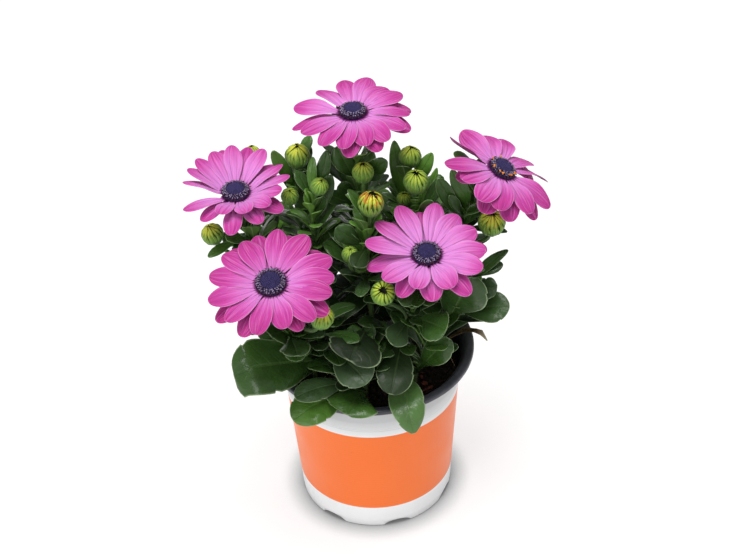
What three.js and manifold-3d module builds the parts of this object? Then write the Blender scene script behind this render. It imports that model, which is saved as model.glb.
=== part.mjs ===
// A potted osteospermum: daisy blooms, buds and leafy shoots growing in a nursery pot.
// Millimetres, +Z up. The pot stands on z = 0 and the group is centred on its bounding box.
import * as THREE from "three";
import { mergeVertices } from "three/addons/utils/BufferGeometryUtils.js";
import Module from "manifold-3d";

const wasm = await Module();
wasm.setup();

// ---------------------------------------------------------------- driving dimensions
const GAP = 0.3; // clearance between pieces that touch in the real plant
const FINEST_DETAIL = 0.06; // smaller slivers are cleaned away where solids were joined

const RIM_RADIUS = 60; // a 12 cm trade pot
const RIM_HEIGHT = 104.6;
const LIP_WIDTH = 4.7;
const LIP_DEPTH = 3.2;
const BASE_RADIUS = 44.8;
const WALL_SLOPE = 0.0768; // growth of the wall's radius per millimetre of height
const WALL = 0.8;
const SHOULDER_HEIGHT = 82; // stacking shoulder below the rim
const SHOULDER_STEP = 0.8;
const NECK_RADIUS = 54; // where the flare above the shoulder meets the lip
const UNDERSIDE = 4; // the floor is raised on a ring of feet
const FOOT_WIDTH = 3.6;
const FEET = 7;
const FOOT_TURN = -11; // degrees from the front to the middle of the first foot
const ARCH_WIDTH = 16; // the gap between two feet
const ARCH_HEIGHT = 3.5;
const POT_SIDES = 36;

const SOIL_HEIGHT = 91;
const SOIL_ROUGHNESS = 1.1;
const SOIL_RINGS = 3;
const SOIL_SLUMP = 1.5; // how far the soil sinks at the wall
const ROOT_DEPTH = 16; // how deep each stem stands in its hole

const STEM_RADIUS = 1.6;
const STALK_RADIUS = 1.1; // flower and bud stalks
const STEM_SIDES = 5;
const STALK_STEPS = 4;

const LOWER_LAYER = -1.25; // heights in a bloom are measured from the plane of its upper rays
const HUB_HALF = 0.65; // half the thickness of one layer at its hub
const RAY_THICKNESS = 1.2; // where a ray leaves the hub; it thins to its edge
const RAY_WIDTH = 12.2;
const RAY_NARROWEST = 0.34; // share of that width at the foot and the tip
const RAY_START = 5;
const RAY_BEND = 9; // rays leave the hub level and turn up or down past this radius
const RAY_CAMBER = 1.2; // how far a ray bows up on its way out
const RAY_SHOULDERS = [0.7, 0.94]; // shares of its length where the margin turns in
const PARTING = { first: 0.18, last: 0.84, step: 0.02 }; // where two neighbours can part
const DISC_RADIUS = 8.7;
const DISC_HEIGHT = 3.4;
const DISC_COLUMNS = 18;
const CUP_BRACTS = 8; // round the cup under a bloom

const BUD_SIZE = 13.8; // full width of a large bud
const BUD_RIDGES = 5;
const BUD_BRACTS = 5;
const LEAF_THICKNESS = 0.95;
const PETIOLE = 0.22; // share of a leaf's length that is its narrow stalk
const PETIOLE_HALF = 0.9;

// ---------------------------------------------------------------- materials
const paint = (color, roughness) => new THREE.MeshStandardMaterial({ color, roughness, metalness: 0 });
const MATERIALS = {
  pot: paint(0xe9e9ee, 0.35),
  soil: paint(0x21170f, 0.95),
  greens: paint(0x3c5c2c, 0.45),
  petals: paint(0xe45fc4, 0.55),
  disc: paint(0x3c3264, 0.7),
  budRays: paint(0xa9b636, 0.6),
};

// ---------------------------------------------------------------- the plant's layout
// Each bloom: where its rays leave the hub, the way it faces, and its rays in two layers.
// A ray is [azimuth in degrees, length] with a rise of its own after them where it differs.
const BLOOMS = {
  top: {
    at: [-4, 20, 251],
    facing: [0, -0.035, 1],
    upper: {
      rise: 2,
      rays: [
        [27, 31], [49, 30], [73, 33], [98, 32], [131, 29], [169, 33], [215, 34],
        [239, 34], [260, 33], [283, 31], [305, 33], [328, 33], [355, 31],
      ],
    },
    lower: { rise: -5, rays: [[14, 33], [62, 32], [190, 34], [266, 34], [295, 33], [341, 33]] },
  },
  left: {
    at: [-70, 1, 214.5],
    facing: [0, -0.12, 1],
    upper: {
      rise: 19,
      rays: [
        [2, 32], [23, 30], [57, 31], [93, 31], [118, 30], [138, 30], [155, 30],
        [171, 30, 14], [214, 33, 8], [254, 27], [286, 27], [314, 29], [340, 29],
      ],
    },
    lower: {
      rise: 3,
      rays: [[42, 31], [77, 33, 12], [106, 32, 12], [230, 28], [266, 34], [298, 29], [331, 30]],
    },
  },
  right: {
    at: [76, 10, 216],
    facing: [0.44, -0.1, 0.89],
    upper: {
      rise: -4,
      rays: [
        [21, 35], [45, 30], [81, 32], [106, 30], [136, 32], [164, 34], [193, 35],
        [214, 29], [243, 33], [266, 31], [303, 31], [337, 34],
      ],
    },
    lower: { rise: -15, rays: [[34, 33], [64, 31], [203, 27], [254, 32], [284, 32], [322, 33]] },
  },
  front: {
    at: [-51, -59, 197.5],
    facing: [0, -0.36, 0.93],
    upper: {
      rise: 7,
      rays: [
        [0, 34], [20, 35], [53, 34], [83, 32], [120, 29], [147, 31], [173, 33],
        [200, 35], [226, 34], [257, 34], [284, 30], [313, 34], [342, 34],
      ],
    },
    lower: {
      rise: -3,
      rays: [[37, 34], [70, 34], [101, 33], [133, 32], [212, 35], [241, 34], [298, 31], [330, 35]],
    },
  },
  side: {
    at: [32.5, -34, 193],
    facing: [0, -0.25, 0.97],
    upper: {
      rise: 8,
      rays: [
        [25, 31], [52, 31], [78, 34], [112, 35], [142, 34], [168, 34], [218, 31],
        [255, 27], [296, 28], [332, 33], [357, 32],
      ],
    },
    lower: {
      rise: -5,
      rays: [[12, 34], [40, 33], [94, 35], [127, 34], [186, 33], [236, 29], [275, 29], [312, 33]],
    },
  },
};

// Each bud: its middle, the way its tip points, and its full width.
const BUDS = {
  back_left: { at: [-36, 25, 221.5], facing: [0.05, -0.1, 1], width: 13.8 },
  back_right: { at: [26.5, 25, 217.5], facing: [0.1, -0.05, 1], width: 12.4 },
  back_middle: { at: [0, 5, 222], facing: [0, -0.05, 1], width: 11.6 },
  orange: { at: [3.5, -15, 215], facing: [0.1, -0.1, 1], width: 13.6 },
  middle_right: { at: [29, 9, 211.5], facing: [0, -0.2, 1], width: 13.6 },
  middle_left: { at: [-24, 0, 217.5], facing: [0.3, -0.25, 1], width: 9.8 },
  dark: { at: [-41, 8, 206], facing: [0, -0.3, 1], width: 9.8 },
  far_left: { at: [-84.5, -6, 193], facing: [-0.15, -0.15, 1], width: 12.2 },
  far_right: { at: [70, -1, 188.5], facing: [0.05, -0.3, 1], width: 14 },
  open: { at: [8, -46, 177.5], facing: [0.05, -0.75, 1], width: 13 },
  small: { at: [-9, -25, 189], facing: [0.1, -0.3, 1], width: 9 },
  low: { at: [-25.5, -55, 170], facing: [0.25, -0.3, 1], width: 13 },
  hidden_right: { at: [22.2, 15, 196], facing: [-0.1, -0.2, 1], width: 8.4 },
  hidden_left: { at: [-62, 38, 215], facing: [0.05, 0.1, 1], width: 10 },
};

// Each shoot: where it leaves the soil, what its own stem ends in, and the side stalks
// with the bud they carry and the share of the stem where they fork off.
const SHOOTS = {
  crown: { root: [-3, 11], bloom: "top", forks: [["back_middle", 0.5]] },
  left: { root: [-26, 6], bloom: "left", forks: [["far_left", 0.55]] },
  right: { root: [28, 8], bloom: "right", forks: [["far_right", 0.5]] },
  front_left: { root: [-20, -18], bloom: "front", forks: [["low", 0.45]] },
  front_right: { root: [13, -16], bloom: "side", forks: [["open", 0.4]] },
  back_left: { root: [-20, 22], bud: "back_left", forks: [["hidden_left", 0.4], ["dark", 0.5]] },
  back_right: { root: [12, 26], bud: "back_right", forks: [["hidden_right", 0.5]] },
  middle_right: { root: [17, 1], bud: "middle_right", forks: [] },
  middle: { root: [2, -5], bud: "orange", forks: [["small", 0.5]] },
  middle_left: { root: [-12, -3], bud: "middle_left", forks: [] },
  low_left: { root: [-33, -12], top: [-46, -32, 142], forks: [] },
  low_front: { root: [-4, -30], top: [-8, -40, 126], forks: [] },
  low_right: { root: [24, -24], top: [35, -31, 132], forks: [] },
  far_right: { root: [38, -4], top: [56, -10, 158], forks: [] },
  rear_right: { root: [30, 26], top: [52, 48, 158], forks: [] },
  rear_left: { root: [-36, 24], top: [-58, 48, 158], forks: [] },
  rear: { root: [-3, 38], top: [-6, 62, 160], forks: [] },
};

// Leaves placed by hand: [shoot, share of its stem, tip, width, arch, facing, outline].
// Arch is how far the midrib bows towards the side that the blade faces. The outline is
// PADDLE for blunt leaves, SPOON for round-ended ones and LANCE for pointed ones.
const PADDLE = 2.2;
const SPOON = 1.5;
const LANCE = 0.95;
const NAMED_LEAVES = [
  ["front_left", 0.14, [-74, -59, 138], 36, 9, [-0.15, -0.62, 0.77], PADDLE],
  ["low_front", 0.3, [-43, -62, 120], 15, 7, [-0.2, -0.5, 0.8], SPOON],
  ["low_front", 0.12, [-45, -67, 108], 23, 8, [-0.15, -0.5, 0.85], SPOON],
  ["low_left", 0.9, [-53, -57, 162], 16, 4, [0, -0.6, 0.8], SPOON],
  ["low_left", 0.95, [-40, -62, 151], 17, 4, [0.1, -0.7, 0.7], SPOON],
  ["middle", 0.28, [-11, -61, 146], 31, 6, [0, -0.65, 0.75], PADDLE],
  ["front_left", 0.28, [-3, -65, 131], 22, 6, [0.1, -0.6, 0.8], SPOON],
  ["low_front", 0.1, [-14, -68, 113], 30, 5, [0, -0.55, 0.83], SPOON],
  ["front_right", 0.38, [10, -67, 124], 21, 5, [0, -0.7, 0.7], SPOON],
  ["front_right", 0.1, [22, -72, 97], 17, 15, [0, -0.62, 0.78], LANCE],
  ["front_right", 0.5, [40, -62, 164], 19, 6, [0.1, -0.75, 0.65], SPOON],
  ["low_right", 0.22, [45, -46, 144], 28, 5, [0.2, -0.7, 0.7], SPOON],
  ["front_right", 0.5, [12, -61, 155], 14, 4, [0, -0.8, 0.6], SPOON],
  ["far_right", 0.4, [56, -36, 176], 28, 6, [0, -0.8, 0.6], SPOON],
  ["far_right", 0.8, [71, -25, 162], 13, 4, [0.1, -0.6, 0.8], SPOON],
  ["far_right", 0.55, [78, -26, 149], 18, 5, [0.1, -0.6, 0.8], SPOON],
  ["far_right", 0.95, [76, -8, 165], 8, 2, [0, -0.4, 0.9], SPOON],
  ["far_right", 0.1, [66, -16, 119], 5, 4, [0.3, -0.3, 0.9], LANCE],
  ["right", 0.7, [79, 0, 181], 6, 3, [0, -0.4, 0.9], LANCE],
  ["far_right", 0.9, [79, -6, 173], 7, 3, [0, -0.4, 0.9], LANCE],
  ["middle", 0.8, [-16, -17, 201], 11.5, 2, [0, -0.85, 0.5], SPOON],
  ["left", 0.82, [-85, -17, 190], 6, 3, [-0.2, -0.6, 0.8], SPOON],
  ["left", 0.78, [-76, -16, 196], 8, 3, [0, -0.6, 0.8], SPOON],
  ["back_left", 0.9, [-48, 19, 230], 8, 2, [-0.1, -0.8, 0.5], SPOON],
  ["middle_left", 0.9, [-27, 12, 229], 6, 2, [-0.3, -0.8, 0.4], SPOON],
  ["crown", 0.75, [-14, 16, 232], 13, 3, [0.2, -0.9, 0.3], SPOON],
  ["crown", 0.7, [5, 30, 221], 10, 3, [0.1, -0.9, 0.3], SPOON],
  ["crown", 0.78, [13, 8, 227], 11, 3, [0.2, -0.9, 0.4], LANCE],
  ["back_right", 0.78, [18, 32, 224], 9, 3, [-0.1, -0.9, 0.4], LANCE],
  ["back_right", 0.86, [39, 27, 218], 9, 3, [0.1, -0.9, 0.4], LANCE],
  ["middle_right", 0.88, [39, 14, 216], 6, 2, [0.2, -0.9, 0.4], LANCE],
  ["middle_right", 0.84, [37, -2, 206], 8, 3, [0.1, -0.9, 0.4], SPOON],
  ["right", 0.78, [51, 12, 211], 7, 3, [-0.4, -0.8, 0.4], LANCE],
  ["right", 0.75, [47, 2, 206], 6, 2, [0, -0.8, 0.6], SPOON],
  ["middle", 0.82, [-6, -42, 194], 11, 2, [0, -0.7, 0.7], SPOON],
  ["middle", 0.62, [-4, -52, 181], 8, 3, [-0.1, -0.7, 0.7], SPOON],
  ["front_right", 0.78, [25, -54, 174], 9, 3, [-0.1, -0.7, 0.7], SPOON],
  ["front_right", 0.74, [32, -50, 171], 9, 3, [0.2, -0.7, 0.7], SPOON],
  ["low_left", 0.88, [-40, -58, 143], 12, 4, [0, -0.6, 0.8], SPOON],
  ["front_right", 0.82, [13, -54, 179], 12, 3, [-0.1, -0.75, 0.65], SPOON],
];

// The remaining leaves follow a rule: they spiral up every shoot by the golden angle.
const GOLDEN_ANGLE = 137.5;
const RULE_SEED = 20;
const RULE_LEAVES_PER_SHOOT = 5;
const RULE_TRIES = [[0, 1], [28, 0.9], [-28, 0.9], [55, 0.75], [-55, 0.75]]; // [turn, scale]
const RULE_LENGTH = [46, 30]; // from the foot of a shoot to its tip
const RULE_RISE = [8, 58];
const RULE_SPAN = [0.1, 0.72];
const LEAF_CLEARANCE = 3.1; // between the sample points of neighbours that must not meet

// ---------------------------------------------------------------- small mathematics
const vec = (point) => new THREE.Vector3(...point);
const radians = THREE.MathUtils.degToRad;

function makeDraw(seed) {
  let state = seed;
  return (low, high) => {
    state = (state * 16807) % 2147483647;
    return low + ((high - low) * state) / 2147483647;
  };
}

// A head's own axes: x and y lie in its plane, z is the way it faces.
function headFrame(facing) {
  const z = vec(facing).normalize();
  const x = new THREE.Vector3(1, 0, 0).addScaledVector(z, -z.x).normalize();
  return { x, y: z.clone().cross(x), z };
}

function inHead(head, frame, x, y, z) {
  return vec(head.at).addScaledVector(frame.x, x).addScaledVector(frame.y, y).addScaledVector(frame.z, z);
}

// ---------------------------------------------------------------- solids
function toSolid(geometry) {
  const bare = geometry.clone();
  bare.deleteAttribute("normal");
  bare.deleteAttribute("uv");
  const merged = mergeVertices(bare, 1e-3);
  const index = merged.index.array;
  const corners = [];
  for (let i = 0; i < index.length; i += 3) {
    const [a, b, c] = index.slice(i, i + 3);
    if (a !== b && b !== c && c !== a) corners.push(a, b, c);
  }
  const vertProperties = merged.attributes.position.array;
  return new wasm.Manifold(new wasm.Mesh({ numProp: 3, vertProperties, triVerts: new Uint32Array(corners) }));
}

function fuse(solids) {
  return solids.reduce((whole, solid) => whole.add(solid)).simplify(FINEST_DETAIL);
}

function toMesh(name, solid, material) {
  const { vertProperties, triVerts } = solid.getMesh();
  const geometry = new THREE.BufferGeometry();
  geometry.setAttribute("position", new THREE.BufferAttribute(vertProperties, 3));
  geometry.setIndex(new THREE.BufferAttribute(triVerts, 1));
  geometry.computeVertexNormals();
  const mesh = new THREE.Mesh(geometry, material);
  mesh.name = name;
  return mesh;
}

// Joins rings of points into a closed skin. A ring of one point is a tip. The diagonals
// mirror each other on the two faces of a blade, so that a waved blade never crosses itself.
function loft(rings) {
  const points = rings.flat();
  const around = Math.max(...rings.map((ring) => ring.length));
  const firsts = [];
  rings.reduce((count, ring) => {
    firsts.push(count);
    return count + ring.length;
  }, 0);
  const corner = (i, j) => firsts[i] + (rings[i].length === 1 ? 0 : j % around);
  const faces = [];
  for (let i = 0; i + 1 < rings.length; i++) {
    for (let j = 0; j < around; j++) {
      const [a, b] = [corner(i, j), corner(i, j + 1)];
      const [d, c] = [corner(i + 1, j), corner(i + 1, j + 1)];
      faces.push(...(j % 2 ? [a, b, d, b, c, d] : [a, b, c, a, c, d]));
    }
  }
  const last = rings.length - 1;
  for (let j = 1; j + 1 < around; j++) {
    faces.push(corner(0, 0), corner(0, j + 1), corner(0, j));
    faces.push(corner(last, 0), corner(last, j), corner(last, j + 1));
  }
  const geometry = new THREE.BufferGeometry().setFromPoints(points);
  geometry.setIndex(faces);
  return toSolid(geometry);
}

function lathe(profile, sides) {
  const geometry = new THREE.LatheGeometry(profile.map(([r, z]) => new THREE.Vector2(r, z)), sides);
  return geometry.rotateX(Math.PI / 2);
}

// A stem along a curve, with its ends cut square.
function stem(curve, radius, steps) {
  const section = new THREE.Shape();
  for (let i = 0; i < STEM_SIDES; i++) {
    const turn = (2 * Math.PI * i) / STEM_SIDES;
    section[i ? "lineTo" : "moveTo"](radius * Math.cos(turn), radius * Math.sin(turn));
  }
  return toSolid(new THREE.ExtrudeGeometry(section, { steps, extrudePath: curve, bevelEnabled: false }));
}

// ---------------------------------------------------------------- pot and soil
const wallRadius = (z) => BASE_RADIUS + WALL_SLOPE * z;

function makePot() {
  const shoulder = wallRadius(SHOULDER_HEIGHT);
  const lipUnder = RIM_HEIGHT - LIP_DEPTH;
  const mouth = RIM_RADIUS - LIP_WIDTH;
  const profile = [
    [0, UNDERSIDE],
    [BASE_RADIUS - FOOT_WIDTH, UNDERSIDE],
    [BASE_RADIUS - FOOT_WIDTH, 0],
    [BASE_RADIUS, 0],
    [shoulder, SHOULDER_HEIGHT],
    [shoulder + SHOULDER_STEP, SHOULDER_HEIGHT + 1.4],
    [NECK_RADIUS, lipUnder],
    [RIM_RADIUS - 0.4, lipUnder],
    [RIM_RADIUS, lipUnder + 0.7],
    [RIM_RADIUS, RIM_HEIGHT - 1],
    [RIM_RADIUS - 0.9, RIM_HEIGHT],
    [mouth + 0.9, RIM_HEIGHT],
    [mouth, RIM_HEIGHT - 0.8],
    [NECK_RADIUS - WALL, lipUnder],
    [shoulder - WALL, SHOULDER_HEIGHT],
    [wallRadius(UNDERSIDE) - WALL, UNDERSIDE + WALL],
    [0, UNDERSIDE + WALL],
  ];
  const arches = [];
  for (let i = 0; i < FEET; i++) {
    const arch = new THREE.CylinderGeometry(1, 1, 3 * FOOT_WIDTH, 8);
    arch.scale(ARCH_WIDTH / 2, 1, ARCH_HEIGHT);
    arch.translate(0, -BASE_RADIUS, 0);
    arch.rotateZ(radians(FOOT_TURN + (360 / FEET) * (i + 0.5)));
    arches.push(toSolid(arch));
  }
  return arches.reduce((pot, arch) => pot.subtract(arch), toSolid(lathe(profile, POT_SIDES)));
}

// Two crossing waves about 20 mm long.
const soilBump = (x, y) =>
  SOIL_ROUGHNESS * (Math.sin(0.31 * x + 1.3 * Math.sin(0.17 * y)) + Math.cos(0.27 * y - 0.2 * x));

function makeSoil() {
  const bottom = UNDERSIDE + WALL + GAP;
  const edge = wallRadius(SHOULDER_HEIGHT) - WALL - GAP;
  const circle = (radius, height) => {
    const ring = [];
    for (let j = 0; j < POT_SIDES; j++) {
      const turn = (-2 * Math.PI * j) / POT_SIDES;
      const [x, y] = [radius * Math.sin(turn), radius * Math.cos(turn)];
      ring.push(vec([x, y, height(x, y)]));
    }
    return ring;
  };
  const rings = [
    circle(wallRadius(bottom) - WALL - GAP, () => bottom),
    circle(edge, () => SHOULDER_HEIGHT),
    circle(edge, () => SOIL_HEIGHT - SOIL_SLUMP),
  ];
  for (let i = 1; i < SOIL_RINGS; i++) {
    rings.push(circle(edge * (1 - i / SOIL_RINGS), (x, y) => SOIL_HEIGHT + soilBump(x, y)));
  }
  rings.push([vec([0, 0, SOIL_HEIGHT + soilBump(0, 0)])]);
  const holes = Object.values(SHOOTS).map(({ root }) => {
    const depth = ROOT_DEPTH + GAP;
    const hole = new THREE.CylinderGeometry(STEM_RADIUS + GAP, STEM_RADIUS + GAP, 2 * depth, STEM_SIDES);
    return toSolid(hole.rotateX(Math.PI / 2).translate(root[0], root[1], SOIL_HEIGHT));
  });
  return holes.reduce((soil, hole) => soil.subtract(hole), loft(rings));
}

// ---------------------------------------------------------------- blooms
// Half a ray's width: `along` runs from 0 inside the hub to 1 at the tip.
const rayHalfWidth = (along) =>
  (RAY_WIDTH / 2) * Math.max(RAY_NARROWEST, Math.sin(Math.PI * along ** 1.25) ** 0.7);

// A point of a ray's middle surface: `across` runs from -1 to 1 between its margins.
function rayPoint(head, frame, ray, along, across) {
  const reach = ray.length * Math.cos(ray.rise);
  const radius = RAY_START + (reach - RAY_START) * along;
  const past = Math.max(0, (radius - RAY_BEND) / (reach - RAY_BEND));
  const height = ray.level + ray.length * Math.sin(ray.rise) * past + RAY_CAMBER * Math.sin(Math.PI * past);
  const side = across * rayHalfWidth(along);
  const [c, s] = [Math.cos(ray.azimuth), Math.sin(ray.azimuth)];
  return inHead(head, frame, radius * c - side * s, radius * s + side * c, height);
}

function raysOf({ rise: usual, rays }, level) {
  return rays.map(([azimuth, length, rise = usual]) => ({
    azimuth: radians(azimuth),
    length,
    rise: radians(rise),
    level,
  }));
}

// How far along a ray its margin parts from the neighbour that is `turn` away.
function partingOf(ray, turn) {
  const reach = ray.length * Math.cos(ray.rise);
  for (let along = PARTING.first; along < PARTING.last; along += PARTING.step) {
    const radius = RAY_START + (reach - RAY_START) * along;
    if (rayHalfWidth(along) < radius * Math.tan(turn / 2)) return along;
  }
  return PARTING.last;
}

// One layer of rays as a single star-shaped sheet. Its outline runs in and out round the
// rays, and its two faces meet there at an edge.
function makeLayer(head, layer, level) {
  const frame = headFrame(head.facing);
  const rays = raysOf(layer, level);
  const half = RAY_THICKNESS / 2;
  const onHub = (turn, side) =>
    inHead(head, frame, RAY_BEND * Math.cos(turn), RAY_BEND * Math.sin(turn), level + side * half);
  const valleys = rays.map((ray, i) => {
    const next = rays[(i + 1) % rays.length];
    const turn = (next.azimuth - ray.azimuth + 2 * Math.PI) % (2 * Math.PI);
    const along = Math.min(partingOf(ray, turn), partingOf(next, turn));
    const [near, far] = [rayPoint(head, frame, ray, along, 1), rayPoint(head, frame, next, along, -1)];
    return { along, turn: ray.azimuth + turn / 2, point: near.lerp(far, 0.5) };
  });
  const points = [1, -1].map((side) => inHead(head, frame, 0, 0, level + side * HUB_HALF));
  const add = (point) => points.push(point) - 1;
  const outline = rays.map((ray, i) => {
    const before = valleys[(i + rays.length - 1) % rays.length];
    const shoulder = (valley) => Math.max(RAY_SHOULDERS[0], valley.along + 0.05);
    return {
      rim: [
        add(rayPoint(head, frame, ray, shoulder(before), -1)),
        add(rayPoint(head, frame, ray, RAY_SHOULDERS[1], -1)),
        add(rayPoint(head, frame, ray, 1, 0)),
        add(rayPoint(head, frame, ray, RAY_SHOULDERS[1], 1)),
        add(rayPoint(head, frame, ray, shoulder(valleys[i]), 1)),
      ],
      valley: add(valleys[i].point),
      hubs: [1, -1].map((side) => [add(onHub(ray.azimuth, side)), add(onHub(valleys[i].turn, side))]),
    };
  });
  const faces = [];
  outline.forEach(({ rim, valley, hubs }, i) => {
    const before = outline[(i + outline.length - 1) % outline.length];
    hubs.forEach(([middle, after], underside) => {
      const first = before.hubs[underside][1];
      const fan = [
        [first, before.valley, rim[0]], [first, rim[0], middle], [middle, rim[0], rim[1]],
        [middle, rim[1], rim[2]], [middle, rim[2], rim[3]], [middle, rim[3], rim[4]],
        [middle, rim[4], after], [after, rim[4], valley],
        [underside, first, middle], [underside, middle, after],
      ];
      fan.forEach(([p, q, r]) => faces.push(...(underside ? [p, r, q] : [p, q, r])));
    });
  });
  const geometry = new THREE.BufferGeometry().setFromPoints(points);
  geometry.setIndex(faces);
  return toSolid(geometry);
}

function makePetals(head) {
  return fuse([makeLayer(head, head.upper, 0), makeLayer(head, head.lower, LOWER_LAYER)]);
}

// A form turned about a head's axis whose even and odd columns differ, which gives it
// ridges or teeth. A row is [radius, height, odd radius, odd height], or [0, height] on the axis.
function ribbed(head, columns, scale, rows) {
  const frame = headFrame(head.facing);
  return loft(rows.map(([radius, height, oddRadius = radius, oddHeight = height]) => {
    if (radius === 0) return [inHead(head, frame, 0, 0, scale * height)];
    const ring = [];
    for (let j = 0; j < columns; j++) {
      const turn = (2 * Math.PI * j) / columns;
      const out = scale * (j % 2 ? oddRadius : radius);
      const up = scale * (j % 2 ? oddHeight : height);
      ring.push(inHead(head, frame, out * Math.cos(turn), out * Math.sin(turn), up));
    }
    return ring;
  }));
}

// The disc is a low dome of florets: rings of bumps round a smoother middle.
function makeDisc(head) {
  const base = HUB_HALF + GAP;
  return ribbed(head, DISC_COLUMNS, 1, [
    [0, base],
    [DISC_RADIUS * 0.86, base],
    [DISC_RADIUS * 0.95, base + 0.8, DISC_RADIUS * 1.03, base + 1.3],
    [DISC_RADIUS * 0.84, base + 2.3, DISC_RADIUS * 0.92, base + 2.7],
    [DISC_RADIUS * 0.6, base + DISC_HEIGHT, DISC_RADIUS * 0.64, base + DISC_HEIGHT - 0.3],
    [0, base + DISC_HEIGHT - 0.2],
  ]);
}

// The green cup below a bloom's rays, with its bracts spread like a star.
function makeCup(head) {
  const top = LOWER_LAYER - HUB_HALF - GAP;
  return ribbed(head, 2 * CUP_BRACTS, 1, [
    [0, top - 4.6],
    [1.5, top - 4.4],
    [4.4, top - 2.4, 4.8, top - 2.2],
    [10.5, top - 3.4, 5.2, top - 1.4],
    [5.2, top],
    [0, top],
  ]);
}

// ---------------------------------------------------------------- buds
const budScale = (bud) => bud.width / BUD_SIZE;

// Folded young rays: a ridged egg with a small dimple where they meet.
function makeBudRays(bud) {
  return ribbed(bud, 2 * BUD_RIDGES, budScale(bud), [
    [0, -5],
    [2.8, -5],
    [5.2, -2.4, 4.9, -2.4],
    [5.7, 0.8, 5, 0.8],
    [3.9, 5, 3.1, 4.8],
    [0, 5.6],
  ]);
}

// The receptacle under a bud and the green bracts pressed round it, as a toothed cup.
function makeBudCup(bud) {
  const scale = budScale(bud);
  const floor = -5 - GAP / scale;
  const inner = 5.75 + GAP / scale;
  return ribbed(bud, 2 * BUD_BRACTS, scale, [
    [0, -8.6],
    [1.4, -8.4],
    [4.2, -6, 3.9, -6],
    [6.7, -2.4, 6.4, -2.4],
    [6.3, 4, inner + 0.3, -0.9],
    [inner, -2.4],
    [3.4, floor],
    [0, floor],
  ]);
}

// ---------------------------------------------------------------- stems
function headEnd(head, depth) {
  return vec(head.at).addScaledVector(vec(head.facing).normalize(), -depth);
}

function stalkCurve(start, leave, end, arrive) {
  const pull = 0.4 * start.distanceTo(end);
  const first = start.clone().addScaledVector(leave, pull);
  const second = end.clone().addScaledVector(arrive, -pull);
  return new THREE.CubicBezierCurve3(start, first, second, end);
}

const UPWARD = new THREE.Vector3(0, 0, 1);
const CUP_DEPTH = 5; // from the plane of a bloom's rays down into its cup
const BUD_DEPTH = 7; // from the middle of a large bud down into its receptacle

function mainCurve(shoot) {
  const start = vec([...shoot.root, SOIL_HEIGHT]);
  if (shoot.top) return stalkCurve(start, UPWARD, vec(shoot.top), vec(shoot.top).sub(start).normalize());
  const head = shoot.bloom ? BLOOMS[shoot.bloom] : BUDS[shoot.bud];
  const depth = shoot.bloom ? CUP_DEPTH : BUD_DEPTH * budScale(head);
  return stalkCurve(start, UPWARD, headEnd(head, depth), vec(head.facing).normalize());
}

function forkCurve(main, [budName, share]) {
  const bud = BUDS[budName];
  const end = headEnd(bud, BUD_DEPTH * budScale(bud));
  return stalkCurve(main.getPoint(share), main.getTangent(share), end, vec(bud.facing).normalize());
}

// ---------------------------------------------------------------- leaves
// A leaf grows from `root` to `tip` along a bowed midrib, its upper face towards `facing`.
function leafFrame(leaf, along) {
  const middle = leaf.root.clone().lerp(leaf.tip, 0.5).addScaledVector(leaf.facing, 2 * leaf.arch);
  const rib = new THREE.QuadraticBezierCurve3(leaf.root, middle, leaf.tip);
  const ahead = rib.getTangent(along);
  const right = ahead.clone().cross(leaf.facing).normalize();
  return { at: rib.getPoint(along), right, up: right.clone().cross(ahead) };
}

function leafHalfWidth(leaf, along) {
  const blade = Math.max(0, (along - PETIOLE) / (1 - PETIOLE));
  const share = Math.sin(Math.PI * Math.min(1, blade) ** leaf.outline) ** 0.7;
  return Math.max(PETIOLE_HALF, (leaf.width / 2) * share);
}

// Teeth stand out on alternate margins, and the margins wave up and down.
const TEETH = [[0.6, -1], [0.78, 1]];
const TOOTH_LENGTH = 0.06;
const TOOTH_DEPTH = 0.16;
const FOLD = 0.16; // how far the margins rise, as a share of the half width
const WAVE = 0.05;

function leafPoint(leaf, along, across) {
  const { at, right, up } = leafFrame(leaf, along);
  let half = leafHalfWidth(leaf, along);
  for (const [start, side] of TEETH) {
    const past = (along - start) / TOOTH_LENGTH;
    if (side * across > 0 && past > 0 && past <= 1.001) half *= 1 - TOOTH_DEPTH * past;
  }
  const wave = WAVE * leaf.width * Math.sin(9 * along + 2 * across + leaf.phase);
  const lift = Math.abs(across) * (FOLD * half + (half > 2 ? wave : 0));
  return at.addScaledVector(right, across * half).addScaledVector(up, lift);
}

const LEAF_STATIONS = [0, 0.34, 0.6, 0.66, 0.78, 0.84, 0.95];
const PLAIN_STATIONS = [0, 0.4, 0.62, 0.9];

function makeLeaf(leaf) {
  const stations = leaf.named && leaf.width > 9 ? LEAF_STATIONS : PLAIN_STATIONS;
  const rings = stations.map((along) => {
    const { at, up } = leafFrame(leaf, along);
    const thick = up.multiplyScalar(LEAF_THICKNESS / 2);
    const [left, right] = [leafPoint(leaf, along, -1), leafPoint(leaf, along, 1)];
    return [left, at.clone().add(thick), right, at.clone().sub(thick)];
  });
  rings.push([leaf.tip]);
  return loft(rings);
}

// ---------------------------------------------------------------- where the leaves fit
const CURVES = Object.fromEntries(Object.entries(SHOOTS).map(([name, shoot]) => {
  const main = mainCurve(shoot);
  return [name, { main, forks: shoot.forks.map((fork) => forkCurve(main, fork)) }];
}));

// Points spread over everything already placed, each with the name of its owner.
const placed = [];
const claim = (owner, points, room) => points.forEach((point) => placed.push({ owner, point, room }));

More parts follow.
